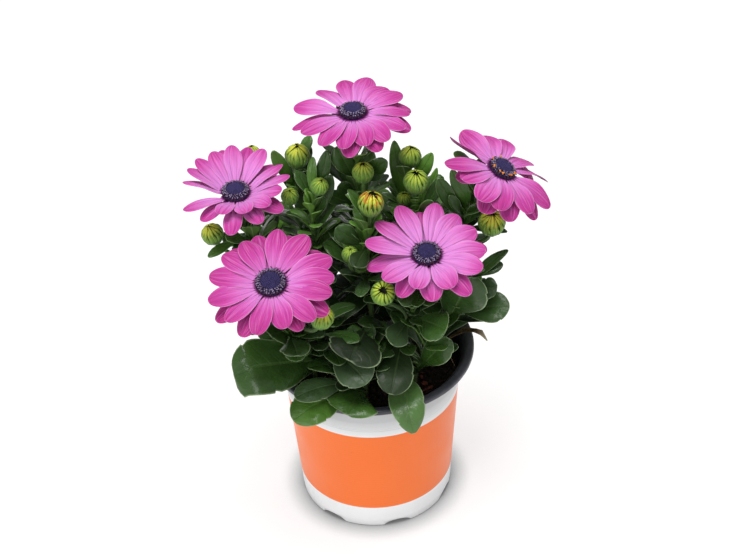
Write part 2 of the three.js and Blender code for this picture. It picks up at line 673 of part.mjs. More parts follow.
for (const [name, { main, forks }] of Object.entries(CURVES)) {
  claim(name, main.getSpacedPoints(60), STEM_RADIUS - 0.6);
  forks.forEach((fork) => claim(name, fork.getSpacedPoints(30), STALK_RADIUS - 0.6));
}
for (const head of Object.values(BLOOMS)) {
  const frame = headFrame(head.facing);
  for (const ray of [...raysOf(head.upper, 0), ...raysOf(head.lower, LOWER_LAYER)]) {
    for (const along of [0.2, 0.35, 0.5, 0.65, 0.8, 0.97]) {
      claim("petals", [-0.8, 0, 0.8].map((across) => rayPoint(head, frame, ray, along, across)), 0);
    }
  }
}
for (const bud of Object.values(BUDS)) {
  claim("buds", [vec(bud.at)], bud.width / 2);
}

const SAMPLE_ROWS = 18;
const SAMPLE_COLUMNS = [-1, -0.66, -0.33, 0, 0.33, 0.66, 1];
const ROOT_SAMPLES = 6 * SAMPLE_COLUMNS.length; // these may lie close to the leaf's own shoot

function leafSamples(leaf) {
  const points = [];
  for (let i = 3; i <= SAMPLE_ROWS; i++) {
    for (const across of SAMPLE_COLUMNS) points.push(leafPoint(leaf, i / SAMPLE_ROWS, across));
  }
  return points;
}

const POT_CLEARANCE = 1.6;

function insidePotOrSoil({ x, y, z }) {
  const radius = Math.hypot(x, y);
  const overRim = z > RIM_HEIGHT + POT_CLEARANCE;
  const overSoil = z > SOIL_HEIGHT + 2 * SOIL_ROUGHNESS + 1;
  const withinMouth = radius < RIM_RADIUS - LIP_WIDTH - 2 * POT_CLEARANCE;
  return !(overRim || (withinMouth && overSoil) || radius > RIM_RADIUS + POT_CLEARANCE);
}

function leafFits(leaf, samples) {
  return samples.every((point, i) => {
    if (insidePotOrSoil(point)) return false;
    const nearRoot = i < ROOT_SAMPLES;
    return placed.every(({ owner, point: other, room }) => {
      const own = owner === leaf.shoot;
      if (own && nearRoot) return true;
      return point.distanceTo(other) > room + LEAF_CLEARANCE * (own ? 0.6 : 1);
    });
  });
}

function growLeaf(shoot, share, tip, width, arch, facing, outline, named) {
  return {
    shoot,
    root: CURVES[shoot].main.getPoint(share),
    tip,
    width,
    arch,
    facing: facing.normalize(),
    outline,
    named,
    phase: 40 * share + width,
  };
}

function namedLeaves() {
  return NAMED_LEAVES.map(([shoot, share, tip, width, arch, facing, outline]) =>
    growLeaf(shoot, share, vec(tip), width, arch, vec(facing), outline, true)
  );
}

// One candidate of the spiral: it leaves its stem at `share`, `turn` degrees from +X.
function ruleLeaf(shoot, share, turn, rise, length, spread) {
  const root = CURVES[shoot].main.getPoint(share);
  const [c, s] = [Math.cos(radians(turn)), Math.sin(radians(turn))];
  const [flat, lift] = [length * Math.cos(radians(rise)), length * Math.sin(radians(rise))];
  const tip = root.clone().add(vec([flat * c, flat * s, lift]));
  const facing = vec([-0.35 * c, -0.35 * s, 1]);
  return growLeaf(shoot, share, tip, length * spread, length * 0.1, facing, SPOON, false);
}

function ruleLeaves() {
  const draw = makeDraw(RULE_SEED);
  const kept = [];
  for (let step = 0; step < RULE_LEAVES_PER_SHOOT; step++) {
    Object.keys(SHOOTS).forEach((shoot, order) => {
      const up = step / (RULE_LEAVES_PER_SHOOT - 1);
      const share = RULE_SPAN[0] + (RULE_SPAN[1] - RULE_SPAN[0]) * up + draw(-0.02, 0.02);
      const turn = 60 * order + GOLDEN_ANGLE * step + draw(-20, 20);
      const rise = RULE_RISE[0] + (RULE_RISE[1] - RULE_RISE[0]) * up + draw(-6, 6);
      const length = (RULE_LENGTH[0] + (RULE_LENGTH[1] - RULE_LENGTH[0]) * up) * draw(0.85, 1.1);
      const spread = draw(0.34, 0.42);
      for (const [more, scale] of RULE_TRIES) {
        const leaf = ruleLeaf(shoot, share, turn + more, rise, length * scale, spread);
        const samples = leafSamples(leaf);
        if (!leafFits(leaf, samples)) continue;
        claim(shoot, samples, 0);
        kept.push(leaf);
        break;
      }
    });
  }
  return kept;
}

const LEAVES = namedLeaves();
LEAVES.forEach((leaf) => claim(leaf.shoot, leafSamples(leaf), 0));
LEAVES.push(...ruleLeaves());

// ---------------------------------------------------------------- shoots
// A shoot's own stem stands straight in its hole and bends above the soil.
function mainStem({ root }, main) {
  const path = new THREE.CurvePath();
  path.add(new THREE.LineCurve3(vec([...root, SOIL_HEIGHT - ROOT_DEPTH]), vec([...root, SOIL_HEIGHT])));
  path.add(main);
  return stem(path, STEM_RADIUS, Math.round(path.getLength() / ROOT_DEPTH));
}

function makeShoot(name, shoot) {
  const { main, forks } = CURVES[name];
  const solids = [mainStem(shoot, main)];
  forks.forEach((fork) => solids.push(stem(fork, STALK_RADIUS, STALK_STEPS)));
  if (shoot.bloom) solids.push(makeCup(BLOOMS[shoot.bloom]));
  if (shoot.bud) solids.push(makeBudCup(BUDS[shoot.bud]));
  shoot.forks.forEach(([budName]) => solids.push(makeBudCup(BUDS[budName])));
  LEAVES.filter((leaf) => leaf.shoot === name).forEach((leaf) => solids.push(makeLeaf(leaf)));
  return fuse(solids);
}

// ---------------------------------------------------------------- assembly
const plant = new THREE.Group();
plant.add(toMesh("pot", makePot(), MATERIALS.pot));
plant.add(toMesh("soil", makeSoil(), MATERIALS.soil));
for (const [name, shoot] of Object.entries(SHOOTS)) {
  plant.add(toMesh(`shoot_${name}`, makeShoot(name, shoot), MATERIALS.greens));
}
for (const [name, head] of Object.entries(BLOOMS)) {
  plant.add(toMesh(`bloom_${name}_petals`, makePetals(head), MATERIALS.petals));
  plant.add(toMesh(`bloom_${name}_disc`, makeDisc(head), MATERIALS.disc));
}
for (const [name, bud] of Object.entries(BUDS)) {
  plant.add(toMesh(`bud_${name}_rays`, makeBudRays(bud), MATERIALS.budRays));
}

const middle = new THREE.Box3().setFromObject(plant).getCenter(new THREE.Vector3());
plant.position.set(-middle.x, -middle.y, 0);

export default plant;
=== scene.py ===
"""Fine surfaces and materials for an osteospermum growing in its nursery pot."""

import itertools
import math
from collections import namedtuple

import bpy
import numpy as np
from mathutils import Matrix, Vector
from mathutils.kdtree import KDTree


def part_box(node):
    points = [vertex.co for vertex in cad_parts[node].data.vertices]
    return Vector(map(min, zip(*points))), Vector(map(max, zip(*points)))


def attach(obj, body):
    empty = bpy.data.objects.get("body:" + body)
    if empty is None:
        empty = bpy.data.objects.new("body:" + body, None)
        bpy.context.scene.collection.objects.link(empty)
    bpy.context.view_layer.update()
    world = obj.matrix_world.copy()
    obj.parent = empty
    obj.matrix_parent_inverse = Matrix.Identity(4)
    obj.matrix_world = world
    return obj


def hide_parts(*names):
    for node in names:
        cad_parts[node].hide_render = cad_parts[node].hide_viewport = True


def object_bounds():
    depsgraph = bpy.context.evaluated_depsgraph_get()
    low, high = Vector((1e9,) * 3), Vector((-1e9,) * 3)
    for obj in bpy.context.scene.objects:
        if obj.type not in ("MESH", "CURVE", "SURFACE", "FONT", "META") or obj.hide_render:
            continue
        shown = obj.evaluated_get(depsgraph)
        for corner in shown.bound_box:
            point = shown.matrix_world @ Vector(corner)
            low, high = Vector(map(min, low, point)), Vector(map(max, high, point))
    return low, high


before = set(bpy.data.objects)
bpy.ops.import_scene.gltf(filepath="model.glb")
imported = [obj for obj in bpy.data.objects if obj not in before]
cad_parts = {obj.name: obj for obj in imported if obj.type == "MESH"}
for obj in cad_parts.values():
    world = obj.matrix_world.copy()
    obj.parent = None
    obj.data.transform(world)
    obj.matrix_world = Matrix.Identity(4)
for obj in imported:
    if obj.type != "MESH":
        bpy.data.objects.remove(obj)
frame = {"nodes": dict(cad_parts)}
cad_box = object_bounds()

# ---------------------------------------------------------------- sizes
# Lengths are in millimetres, measured from the pot's own axis and the ground it stands on.
# They repeat the dimensions that the solids were made from.
METRE = 1000
RIM_RADIUS, RIM_HEIGHT = 60, 104.6
LIP_WIDTH, LIP_DEPTH = 4.7, 3.2
BASE_RADIUS, WALL_SLOPE, WALL = 44.8, 0.0768, 0.8
SHOULDER_HEIGHT, SHOULDER_STEP, NECK_RADIUS = 82, 0.8, 54
UNDERSIDE, FOOT_WIDTH = 4, 3.6
FEET, FOOT_TURN, ARCH_WIDTH, ARCH_HEIGHT = 7, -11, 16, 3.5
POT_SIDES = 36 * FEET
BAND = (16, 76.7)  # bottom and top of the printed band

SOIL_HEIGHT, SOIL_FLOOR = 91, 6
ROOT_DEPTH = 16
PEAT_LUMPS, BARK_CHIPS, DEAD_ROOTS = 900, 70, 16
# Chips on the bare soil at the right: place, tone and size. A root is bent beside them.
BARE_CHIPS = [(28.5, -17, 1.4, 1.2), (30, -22, 1.7, 1.5), (33, -26, 1.9, 1.7),
              (36.5, -28.5, 1.6, 1.4), (31, -27, 1.3, 1.2), (42, -22, 0.6, 1.2)]
BARE_ROOT = [(38, -1, 0.8), (43, 4, 2.6), (48, 0, 2.2), (48.5, -8, 0.4)]
BARE_LEFT, BARE_FRONT, BARE_BACK, BARE_TOP = 24, -50, -2, 130

STEM_RADIUS, STALK_RADIUS = 1.6, 1.1
LOWER_LAYER, HUB_TOP = -1.25, 0.95
RAY_WIDTH, RAY_NARROWEST = 12.2, 0.34
RAY_START, RAY_BEND, RAY_CAMBER = 5, 9, 1.2
GROOVE_AT, GROOVE_WIDTH, GROOVE_DEPTH = 0.36, 0.13, 0.36
DISC_RADIUS, DISC_HEIGHT = 8.7, 3.4
BUD_SIZE = 13.8
BUD_FOLDS, BRACTS, BRACT_FOOT = 15, 8, -7.4
PETIOLE, PETIOLE_HALF = 0.22, 0.9
TEETH = ((0.6, -1), (0.78, 1))
TOOTH_LENGTH, TOOTH_DEPTH = 0.06, 0.16
FOLD, WAVE = 0.16, 0.05
LARGE_WIDTH = 9  # the wider leaves have teeth and a finer mesh

# Each bloom: where its rays leave the hub, the way it faces, the rise of its upper and lower
# rays in degrees, and the rays as [azimuth, length] with a rise of their own where it differs.
# Depth is how deep its pink is: partly each bloom's own colour, partly painted light and shade on
# the whole bloom.
Bloom = namedtuple("Bloom", "at facing rises upper lower depth")
BLOOMS = {
    "top": Bloom(
        (-4, 20, 251), (0, -0.035, 1), (2, -5),
        [[27, 31], [49, 30], [73, 33], [98, 32], [131, 29], [169, 33], [215, 34],
         [239, 34], [260, 33], [283, 31], [305, 33], [328, 33], [355, 31]],
        [[14, 33], [62, 32], [190, 34], [266, 34], [295, 33], [341, 33]], 0.45),
    "left": Bloom(
        (-70, 1, 214.5), (0, -0.12, 1), (19, 3),
        [[2, 32], [23, 30], [57, 31], [93, 31], [118, 30], [138, 30], [155, 30],
         [171, 30, 14], [214, 33, 8], [254, 27], [286, 27], [314, 29], [340, 29]],
        [[42, 31], [77, 33, 12], [106, 32, 12], [230, 28], [266, 34], [298, 29], [331, 30]], 0.1),
    "right": Bloom(
        (76, 10, 216), (0.44, -0.1, 0.89), (-4, -15),
        [[21, 35], [45, 30], [81, 32], [106, 30], [136, 32], [164, 34], [193, 35],
         [214, 29], [243, 33], [266, 31], [303, 31], [337, 34]],
        [[34, 33], [64, 31], [203, 27], [254, 32], [284, 32], [322, 33]], 0.6),
    "front": Bloom(
        (-51, -59, 197.5), (0, -0.36, 0.93), (7, -3),
        [[0, 34], [20, 35], [53, 34], [83, 32], [120, 29], [147, 31], [173, 33],
         [200, 35], [226, 34], [257, 34], [284, 30], [313, 34], [342, 34]],
        [[37, 34], [70, 34], [101, 33], [133, 32], [212, 35], [241, 34], [298, 31],
         [330, 35]], 0.8),
    "side": Bloom(
        (32.5, -34, 193), (0, -0.25, 0.97), (8, -5),
        [[25, 31], [52, 31], [78, 34], [112, 35], [142, 34], [168, 34], [218, 31],
         [255, 27], [296, 28], [332, 33], [357, 32]],
        [[12, 34], [40, 33], [94, 35], [127, 34], [186, 33], [236, 29], [275, 29], [312, 33]], 0.0),
}

# Rays that have rolled on their own length, in radians, and those that curve up or down, in
# millimetres at the tip.
ROLLED = {
    ("right", 164): 0.7, ("right", 136): -0.6, ("right", 106): -0.5, ("right", 81): -0.3,
    ("right", 45): -0.35, ("right", 21): -0.5, ("left", 171): 0.45, ("left", 155): 0.3,
    ("left", 138): 0.1, ("left", 23): -0.35, ("left", 2): -0.25, ("side", 142): 0.3,
    ("top", 355): -0.2, ("top", 169): -0.2,
}
CURVED = {("right", 164): 6, ("right", 136): 3, ("right", 21): -4}
# The blooms differ in how broad their rays and discs are, and one sheds pollen at these angles.
PLUMP = {"left": 0.89, "top": 1.02, "right": 1.13, "front": 1.06, "side": 1.05}
DISC_WIDTH = {"front": 1.07, "top": 0.95}
POLLEN = {"right": (100, 150, 205, 240, 262, 300, 330)}
CLOSED_FLORETS = 130
# Rings of open florets: how many, the radii and heights of their feet and tips, their
# thickness and their finish.
OPEN_FLORETS = (
    (34, 4.9, 5.9, (3.2, 4.3), 0.25, 1), (38, 5.5, 6.7, (2.7, 3.9), 0.28, 1),
    (34, 6.1, 7.4, (2.0, 3.2), 0.3, 1), (34, 6.5, 7.9, (1.6, 2.6), 0.3, 2),
    (20, 7.0, 8.9, (1.4, 2.2), 0.18, 2),
)

# Each bud: its middle, the way its tip points, its full width, how ripe it is (0 is green,
# 1 shows yellow), how much orange its rays show and how far they gape.
Bud = namedtuple("Bud", "at facing width ripe orange gape", defaults=(0, 0))
BUDS = {
    "back_left": Bud((-36, 25, 221.5), (0.05, -0.1, 1), 13.8, 0.85),
    "back_right": Bud((26.5, 25, 217.5), (0.1, -0.05, 1), 12.4, 0.45),
    "back_middle": Bud((0, 5, 222), (0, -0.05, 1), 11.6, 0.5, 0, 0.8),
    "orange": Bud((3.5, -15, 215), (0.1, -0.1, 1), 13.6, 1, 1, 1.6),
    "middle_right": Bud((29, 9, 211.5), (0, -0.2, 1), 13.6, 0.2, 0, 0.8),
    "middle_left": Bud((-24, 0, 217.5), (0.3, -0.25, 1), 9.8, 0.15),
    "dark": Bud((-41, 8, 206), (0, -0.3, 1), 9.8, 0.05),
    "far_left": Bud((-84.5, -6, 193), (-0.28, -0.18, 1), 12.2, 0.8),
    "far_right": Bud((70, -2, 189.5), (0.05, -0.3, 1), 15, 0.95, 0.3, 0.48),
    "open": Bud((8, -46, 177.5), (0.05, -0.75, 1), 13, 0.35, 0, 1.6),
    "small": Bud((-9, -25, 189), (0.1, -0.3, 1), 9, 0.1),
    "low": Bud((-25.5, -55, 170), (0.25, -0.3, 1), 13, 0.8, 0.2, 0.32),
    "hidden_right": Bud((22.2, 15, 196), (-0.1, -0.2, 1), 8.4, 0.3),
    "hidden_left": Bud((-62, 38, 215), (0.05, 0.1, 1), 10, 0.6),
}

# Each shoot: where it leaves the soil, what its stem ends in, and its side stalks as the bud
# that they carry and the share of the stem where they fork off.
Shoot = namedtuple("Shoot", "root bloom bud top forks")
SHOOTS = {
    "crown": Shoot((-3, 11), "top", None, None, [("back_middle", 0.5)]),
    "left": Shoot((-26, 6), "left", None, None, [("far_left", 0.55)]),
    "right": Shoot((28, 8), "right", None, None, [("far_right", 0.5)]),
    "front_left": Shoot((-20, -18), "front", None, None, [("low", 0.45)]),
    "front_right": Shoot((13, -16), "side", None, None, [("open", 0.4)]),
    "back_left": Shoot((-20, 22), None, "back_left", None, [("hidden_left", 0.4), ("dark", 0.5)]),
    "back_right": Shoot((12, 26), None, "back_right", None, [("hidden_right", 0.5)]),
    "middle_right": Shoot((17, 1), None, "middle_right", None, []),
    "middle": Shoot((2, -5), None, "orange", None, [("small", 0.5)]),
    "middle_left": Shoot((-12, -3), None, "middle_left", None, []),
    "low_left": Shoot((-33, -12), None, None, (-46, -32, 142), []),
    "low_front": Shoot((-4, -30), None, None, (-8, -40, 126), []),
    "low_right": Shoot((24, -24), None, None, (35, -31, 132), []),
    "far_right": Shoot((38, -4), None, None, (56, -10, 158), []),
    "rear_right": Shoot((30, 26), None, None, (52, 48, 158), []),
    "rear_left": Shoot((-36, 24), None, None, (-58, 48, 158), []),
    "rear": Shoot((-3, 38), None, None, (-6, 62, 160), []),
}

# ---------------------------------------------------------------- leaves one by one
# By shoot, as (share of its stem, tip, width, arch, facing, tone, sheen, outline), each a plain
# spoon without sheen unless it says otherwise. Tone runs from 0, the darkest green, to 1, the
# brightest: partly each leaf's own green, partly painted shade and light. Sheen is how much grey
# is painted on the surface: a painted sheen where the leaf catches the light.
PADDLE, SPOON, LANCE, BROAD = 2.2, 1.5, 0.95, 1.35
Leaf = namedtuple("Leaf", "root tip width arch facing outline phase tone wax large curl")
NAMED_LEAVES = {
    "front_left": [
        (0.14, (-74, -59, 138), 36, 9, (-0.15, -0.62, 0.77), 0.38, 0.12, BROAD),
        (0.28, (-3, -65, 131), 22, 6, (0.1, -0.6, 0.8), 0.2, 0.6),
    ],
    "low_front": [
        (0.3, (-43, -62, 120), 15, 7, (-0.2, -0.5, 0.8), 0.35, 0.6),
        (0.12, (-45, -67, 108), 23, 8, (-0.15, -0.5, 0.85), 0.62, 0.1),
        (0.1, (-14, -68, 113), 30, 5, (0, -0.55, 0.83), 0.45, 0.1),
    ],
    "low_left": [
        (0.9, (-53, -57, 162), 16, 4, (0, -0.6, 0.8), 0.2),
        (0.95, (-40, -62, 151), 17, 4, (0.1, -0.7, 0.7), 0.25, 0.2),
        (0.88, (-40, -58, 143), 12, 4, (0, -0.6, 0.8), 0.35),
    ],
    "middle": [
        (0.28, (-11, -61, 146), 31, 6, (0, -0.65, 0.75), 0, 0.1, PADDLE),
        (0.8, (-16, -17, 201), 11.5, 2, (0, -0.85, 0.5), 0.25),
        (0.82, (-6, -42, 194), 11, 2, (0, -0.7, 0.7), 0.1),
        (0.62, (-4, -52, 181), 8, 3, (-0.1, -0.7, 0.7), 0.3, 0.3),
    ],
    "front_right": [
        (0.38, (10, -67, 124), 21, 5, (0, -0.7, 0.7), 0.05),
        (0.1, (22, -72, 97), 20, 15, (0, -0.62, 0.78), 0.55, 0.7, LANCE),
        (0.5, (40, -62, 164), 19, 6, (0.1, -0.75, 0.65), 0.35, 0.1),
        (0.5, (12, -61, 155), 14, 4, (0, -0.8, 0.6), 0.15, 0.4),
        (0.78, (25, -54, 174), 9, 3, (-0.1, -0.7, 0.7), 0.3),
        (0.74, (32, -50, 171), 9, 3, (0.2, -0.7, 0.7), 0.3),
        (0.78, (17, -54, 178), 11, 3, (-0.1, -0.75, 0.65), 0.3),
    ],
    "low_right": [
        (0.22, (42.5, -47, 144), 17, 5, (-0.1, -0.75, 0.65), 0.25),
    ],
    "far_right": [
        (0.4, (56, -36, 176), 28, 6, (0, -0.8, 0.6), 0.25, 0.1),
        (0.8, (71, -25, 162), 13, 4, (0.1, -0.6, 0.8), 0.2, 0.5),
        (0.55, (78, -26, 149), 18, 5, (0.1, -0.6, 0.8), 0.3, 0.3),
        (0.95, (76, -8, 165), 8, 2, (0, -0.4, 0.9), 0.3, 0.3),
        (0.9, (79, -6, 173), 7, 3, (0, -0.4, 0.9), 0.4, 0.2, LANCE),
    ],
    "right": [
        (0.7, (79, 0, 181), 6, 3, (0, -0.4, 0.9), 0.4, 0.2, LANCE),
        (0.78, (51, 12, 211), 7, 3, (-0.4, -0.8, 0.4), 0.5, 0, LANCE),
        (0.75, (47, 2, 206), 6, 2, (0, -0.8, 0.6), 0.3),
        (0.8, (48.5, 8, 219), 9, 3, (0, -0.85, 0.4), 0.45, 0, LANCE),
        (0.72, (41, 4, 216.5), 9, 3, (0, -0.85, 0.4), 0.35),
        (0.7, (63, 4, 198), 8, 3, (0.1, -0.8, 0.5), 0.35),
    ],
    "left": [
        (0.8, (-87, -18, 186), 6, 3, (-0.2, -0.6, 0.8), 0.5),
        (0.78, (-76, -16, 196), 8, 3, (0, -0.6, 0.8), 0.5),
        (0.74, (-80, 1, 186.5), 10, 3, (-0.1, -0.75, 0.6), 0.4),
    ],
    "back_left": [
        (0.84, (-49, 18, 230), 8, 2, (-0.1, -0.8, 0.5), 0.6),
    ],
    "middle_left": [
        (0.9, (-27, 12, 229), 6, 2, (-0.3, -0.8, 0.4), 0.6),
        (0.82, (-19, 15, 231), 8, 3, (-0.1, -0.85, 0.4), 0.4),
        (0.78, (-17.5, 7, 220), 9, 3, (-0.1, -0.85, 0.4), 0.3),
    ],
    "crown": [
        (0.75, (-14, 16, 232), 13, 3, (0.2, -0.9, 0.3), 0.35),
        (0.7, (5, 30, 221), 10, 3, (0.1, -0.9, 0.3), 0.5),
        (0.78, (13, 8, 227), 11, 3, (0.2, -0.9, 0.4), 0.35, 0, LANCE),
        (0.72, (-14, 6, 213), 9, 3, (-0.1, -0.85, 0.4), 0.2),
        (0.76, (11, 11, 219), 8, 3, (0.1, -0.85, 0.4), 0.3),
        (0.66, (-21, 3, 211), 9, 3, (-0.1, -0.85, 0.4), 0.2),
    ],
    "back_right": [
        (0.78, (18, 32, 224), 9, 3, (-0.1, -0.9, 0.4), 0.6, 0, LANCE),
        (0.86, (39, 27, 218), 9, 3, (0.1, -0.9, 0.4), 0.75, 0, LANCE),
    ],
    "middle_right": [
        (0.82, (41, 15, 216), 6, 2, (0.2, -0.9, 0.4), 0.7, 0, LANCE),
        (0.84, (37, -2, 206), 8, 3, (0.1, -0.9, 0.4), 0.4),
        (0.8, (44, 14, 211), 8, 3, (0, -0.85, 0.4), 0.3),
    ],
}
WITHERED_LEAF = ("far_right", 0.1, (66, -16, 119), 3.6, 4, (0.3, -0.3, 0.9), 0, 0, LANCE)

# The rule that places the other leaves of the solids, with its own generator of numbers.
GOLDEN_ANGLE = 137.5
RULE_SEED, RULE_FACTOR, RULE_MODULUS = 20, 16807, 2147483647
RULE_LEAVES, RULE_LENGTH, RULE_RISE, RULE_SPAN = 5, (46, 30), (8, 58), (0.1, 0.72)
RULE_TRIES = ((0, 1), (28, 0.9), (-28, 0.9), (55, 0.75), (-55, 0.75))
TIP_MATCH = 0.1  # a leaf grew where the solid has a point this near to its tip

# Smaller leaves crowd every stem: too many and too small for the solids.
# Span of the stem, steps, rise, length, width over length, tone.
# The lower span of each stem gets the darker tones and the upper the brighter: partly painted shade
# and light.
FILLS = (
    ((0.15, 0.92), 22, (25, 60), (36, 26), 0.34, (0.05, 0.45)),
    ((0.55, 0.985), 24, (35, 74), (23, 13), 0.42, (0.55, 1.0)),
)
FILL_TRIES = ((0, 1), (40, 0.9), (-40, 0.9), (80, 0.8), (-80, 0.8), (140, 0.7), (-140, 0.6))
PETAL_ROOM, BUD_ROOM, LEAF_ROOM = 2.2, 0.9, 1.0
PLANT_SEED, FILL_SEED = 31, 57

# ---------------------------------------------------------------- small mathematics
low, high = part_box("pot")
AXIS = np.array([low.x + high.x, low.y + high.y, 0]) / 2 * METRE
chance = np.random.default_rng(PLANT_SEED)


def unit(vectors):
    vectors = np.asarray(vectors, float)
    return vectors / np.maximum(np.linalg.norm(vectors, axis=-1, keepdims=True), 1e-9)


def between(ends, share):
    return ends[0] + (ends[1] - ends[0]) * share


def smooth(value, start, end):
    """Rises gently from 0 at start to 1 at end."""
    share = np.clip((np.asarray(value, float) - start) / (end - start), 0, 1)
    return share * share * (3 - 2 * share)


def tip_shape(along, start, power):
    """The width of a blade that tapers as a sine wave beyond its start."""
    return np.sin(np.pi * np.clip(along, start, 1)**power)


def bezier(controls, along):
    """The points and directions of a curve at these parameters."""
    along = np.asarray(along, float)[..., None]
    controls = [np.asarray(point, float) for point in controls]

    def reduce(points):
        while len(points) > 1:
            points = [a + (b - a) * along for a, b in zip(points, points[1:])]
        return points[0]

    return reduce(controls), unit(reduce([b - a for a, b in zip(controls, controls[1:])]))


def head_frame(facing):
    """The axes of a head: two in its plane, then the way it faces."""
    z = unit(facing)
    x = unit(np.array([1, 0, 0]) - z * z[0])
    return np.array([x, np.cross(z, x), z])


def in_head(head, local):
    return np.asarray(head.at, float) + np.asarray(local, float) @ head_frame(head.facing)


def turned(radius, height, turn):
    """Points at this radius, height and angle about a head's own axis."""
    radius, height, turn = np.broadcast_arrays(radius, height, turn)
    return np.stack([radius * np.cos(turn), radius * np.sin(turn), height], -1).astype(float)


def circle(sides):
    return np.linspace(0, 2 * np.pi, sides, endpoint=False)


def sideways(turn):
    return np.array([-math.sin(turn), math.cos(turn), 0])


def thinning(across):
    """How a blade thins towards its edges."""
    return np.sqrt(np.clip(1 - np.abs(across)**4, 0, 1))


def tree_of(points):
    tree = KDTree(len(points))
    for order, point in enumerate(points):
        tree.insert(point, order)
    tree.balance()
    return tree


# ---------------------------------------------------------------- making pieces
PLAIN = (0, 0, 0, 0)


def grid_faces(index, closed=False):
    """Quads over a grid of point numbers. They face the way that rows x columns points."""
    if closed:
        index = np.concatenate([index, index[:, :1]], 1)
    corners = index[:-1, :-1], index[1:, :-1], index[1:, 1:], index[:-1, 1:]
    return np.stack(corners, -1).reshape(-1, 4)


class Skin:
    """The faces of one piece, gathered from its parts, with four marks at every point for its
    materials to read: how far along the part, how far across it, its tone and a fourth mark: a
    painted grey sheen on leaves, the share of orange on buds and a seed for the streaks on rays."""

    def __init__(self):
        self.points, self.marks, self.faces, self.finishes = [], [], [], []
        self.count = 0

    def add(self, points, faces, marks=PLAIN, finish=0):
        points = np.asarray(points, float).reshape(-1, 3)
        marks = np.asarray(marks, float).reshape(-1, 4)
        self.points.append(points)
        self.marks.append(np.broadcast_to(marks, (len(points), 4)))
        self.faces.extend((np.asarray(faces) + self.count).tolist())
        self.finishes.extend(np.broadcast_to(finish, len(faces)).tolist())
        self.count += len(points)

    def lathe(self, rings, marks=PLAIN, finish=0, flip=False):
        """A surface through rings of points, each ring closed."""
        faces = grid_faces(np.arange(rings.size // 3).reshape(len(rings), -1), closed=True)
        self.add(rings, faces[:, ::-1] if flip else faces, marks, finish)

    def blade(self, sheet, thick, facing, marks, finishes=(0, 0)):
        """A closed blade: its sheet is a grid of points, and thick the thickness at each."""
        rows, columns = sheet.shape[:2]
        normal = unit(np.cross(np.gradient(sheet, axis=0), np.gradient(sheet, axis=1)))
        turned_over = float(normal.mean((0, 1)) @ np.asarray(facing, float)) < 0
        if turned_over:
            normal = -normal
        half = np.broadcast_to(thick, (rows, columns))[..., None] / 2 * normal
        inner = (slice(1, -1), slice(1, -1))
        upper = sheet.copy()
        upper[inner] += half[inner]
        under = (sheet - half)[inner]
        index = np.arange(rows * columns).reshape(rows, columns)
        below = index.copy()
        below[inner] = rows * columns + np.arange(under.size // 3).reshape(rows - 2, -1)
        top_faces, under_faces = grid_faces(index), grid_faces(below)[:, ::-1]
        if turned_over:
            top_faces, under_faces = top_faces[:, ::-1], under_faces[:, ::-1]
        marks = np.broadcast_to(np.stack(np.broadcast_arrays(*marks), -1), (rows, columns, 4))
        self.add(
            np.concatenate([upper.reshape(-1, 3), under.reshape(-1, 3)]),
            np.concatenate([top_faces, under_faces]),
            np.concatenate([marks.reshape(-1, 4), marks[inner].reshape(-1, 4)]),
            np.repeat(finishes, len(top_faces)),
        )

    def tube(self, path, radius, sides, finish=0):
        """A round tube along a path, closed by a point at each end."""
        path = np.asarray(path, float)
        ahead = unit(np.gradient(path, axis=0))
        side = unit(np.cross(ahead[0], [0.3, 0.9, 0.1]))
        sides_on = []
        for direction in ahead:
            side = unit(side - direction * (side @ direction))
            sides_on.append(side)
        side = np.array(sides_on)
        turn = circle(sides)[:, None]
        rings = path[:, None] + np.broadcast_to(radius, len(path))[:, None, None] * (
            side[:, None] * np.cos(turn) + np.cross(ahead, side)[:, None] * np.sin(turn))
        ends = path[:1, None].repeat(sides, 1), path[-1:, None].repeat(sides, 1)
        rings = np.concatenate([ends[0], rings, ends[1]])
        marks = np.zeros(rings.shape[:2] + (4,))
        marks[..., 0] = np.linspace(0, 1, len(rings))[:, None]
        marks[..., 1] = np.cos(circle(sides))
        self.lathe(rings, marks, finish, flip=True)

    def piece(self, name, materials, slot, *nodes):
        """Makes the object, and lets it stand for these nodes of the frame."""
        mesh = bpy.data.meshes.new(name)
        points = (np.concatenate(self.points) + AXIS) / METRE
        mesh.from_pydata(points.tolist(), [], self.faces)
        marks = np.concatenate(self.marks)
        for key, kind, field, values in (("blade", "FLOAT_VECTOR", "vector", marks[:, :3]),
                                         ("wax", "FLOAT", "value", marks[:, 3])):
            mesh.attributes.new(key, kind, "POINT").data.foreach_set(field, values.ravel())
        mesh.polygons.foreach_set("material_index", self.finishes)
        mesh.polygons.foreach_set("use_smooth", [True] * len(self.faces))
        for material in materials:
            mesh.materials.append(material)
        mesh.validate()
        piece = bpy.data.objects.new(name, mesh)
        bpy.context.scene.collection.objects.link(piece)
        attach(piece, "root")
        if nodes:
            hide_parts(*nodes)


# ---------------------------------------------------------------- materials
SOFT = {"interpolation_type": "SMOOTHSTEP"}
COLOUR = {"data_type": "RGBA"}
TIMES, TIMES_PLUS, LESS, LARGER, SIZE, SINE = (
    {"operation": name}
    for name in ("MULTIPLY", "MULTIPLY_ADD", "SUBTRACT", "MAXIMUM", "ABSOLUTE", "SINE"))


def srgb(code):
    """An sRGB hex colour as the linear one that the shaders take."""
    parts = [int(code[i:i + 2], 16) / 255 for i in (1, 3, 5)]
    return (*[v / 12.92 if v <= 0.04045 else ((v + 0.055) / 1.055) ** 2.4 for v in parts], 1)


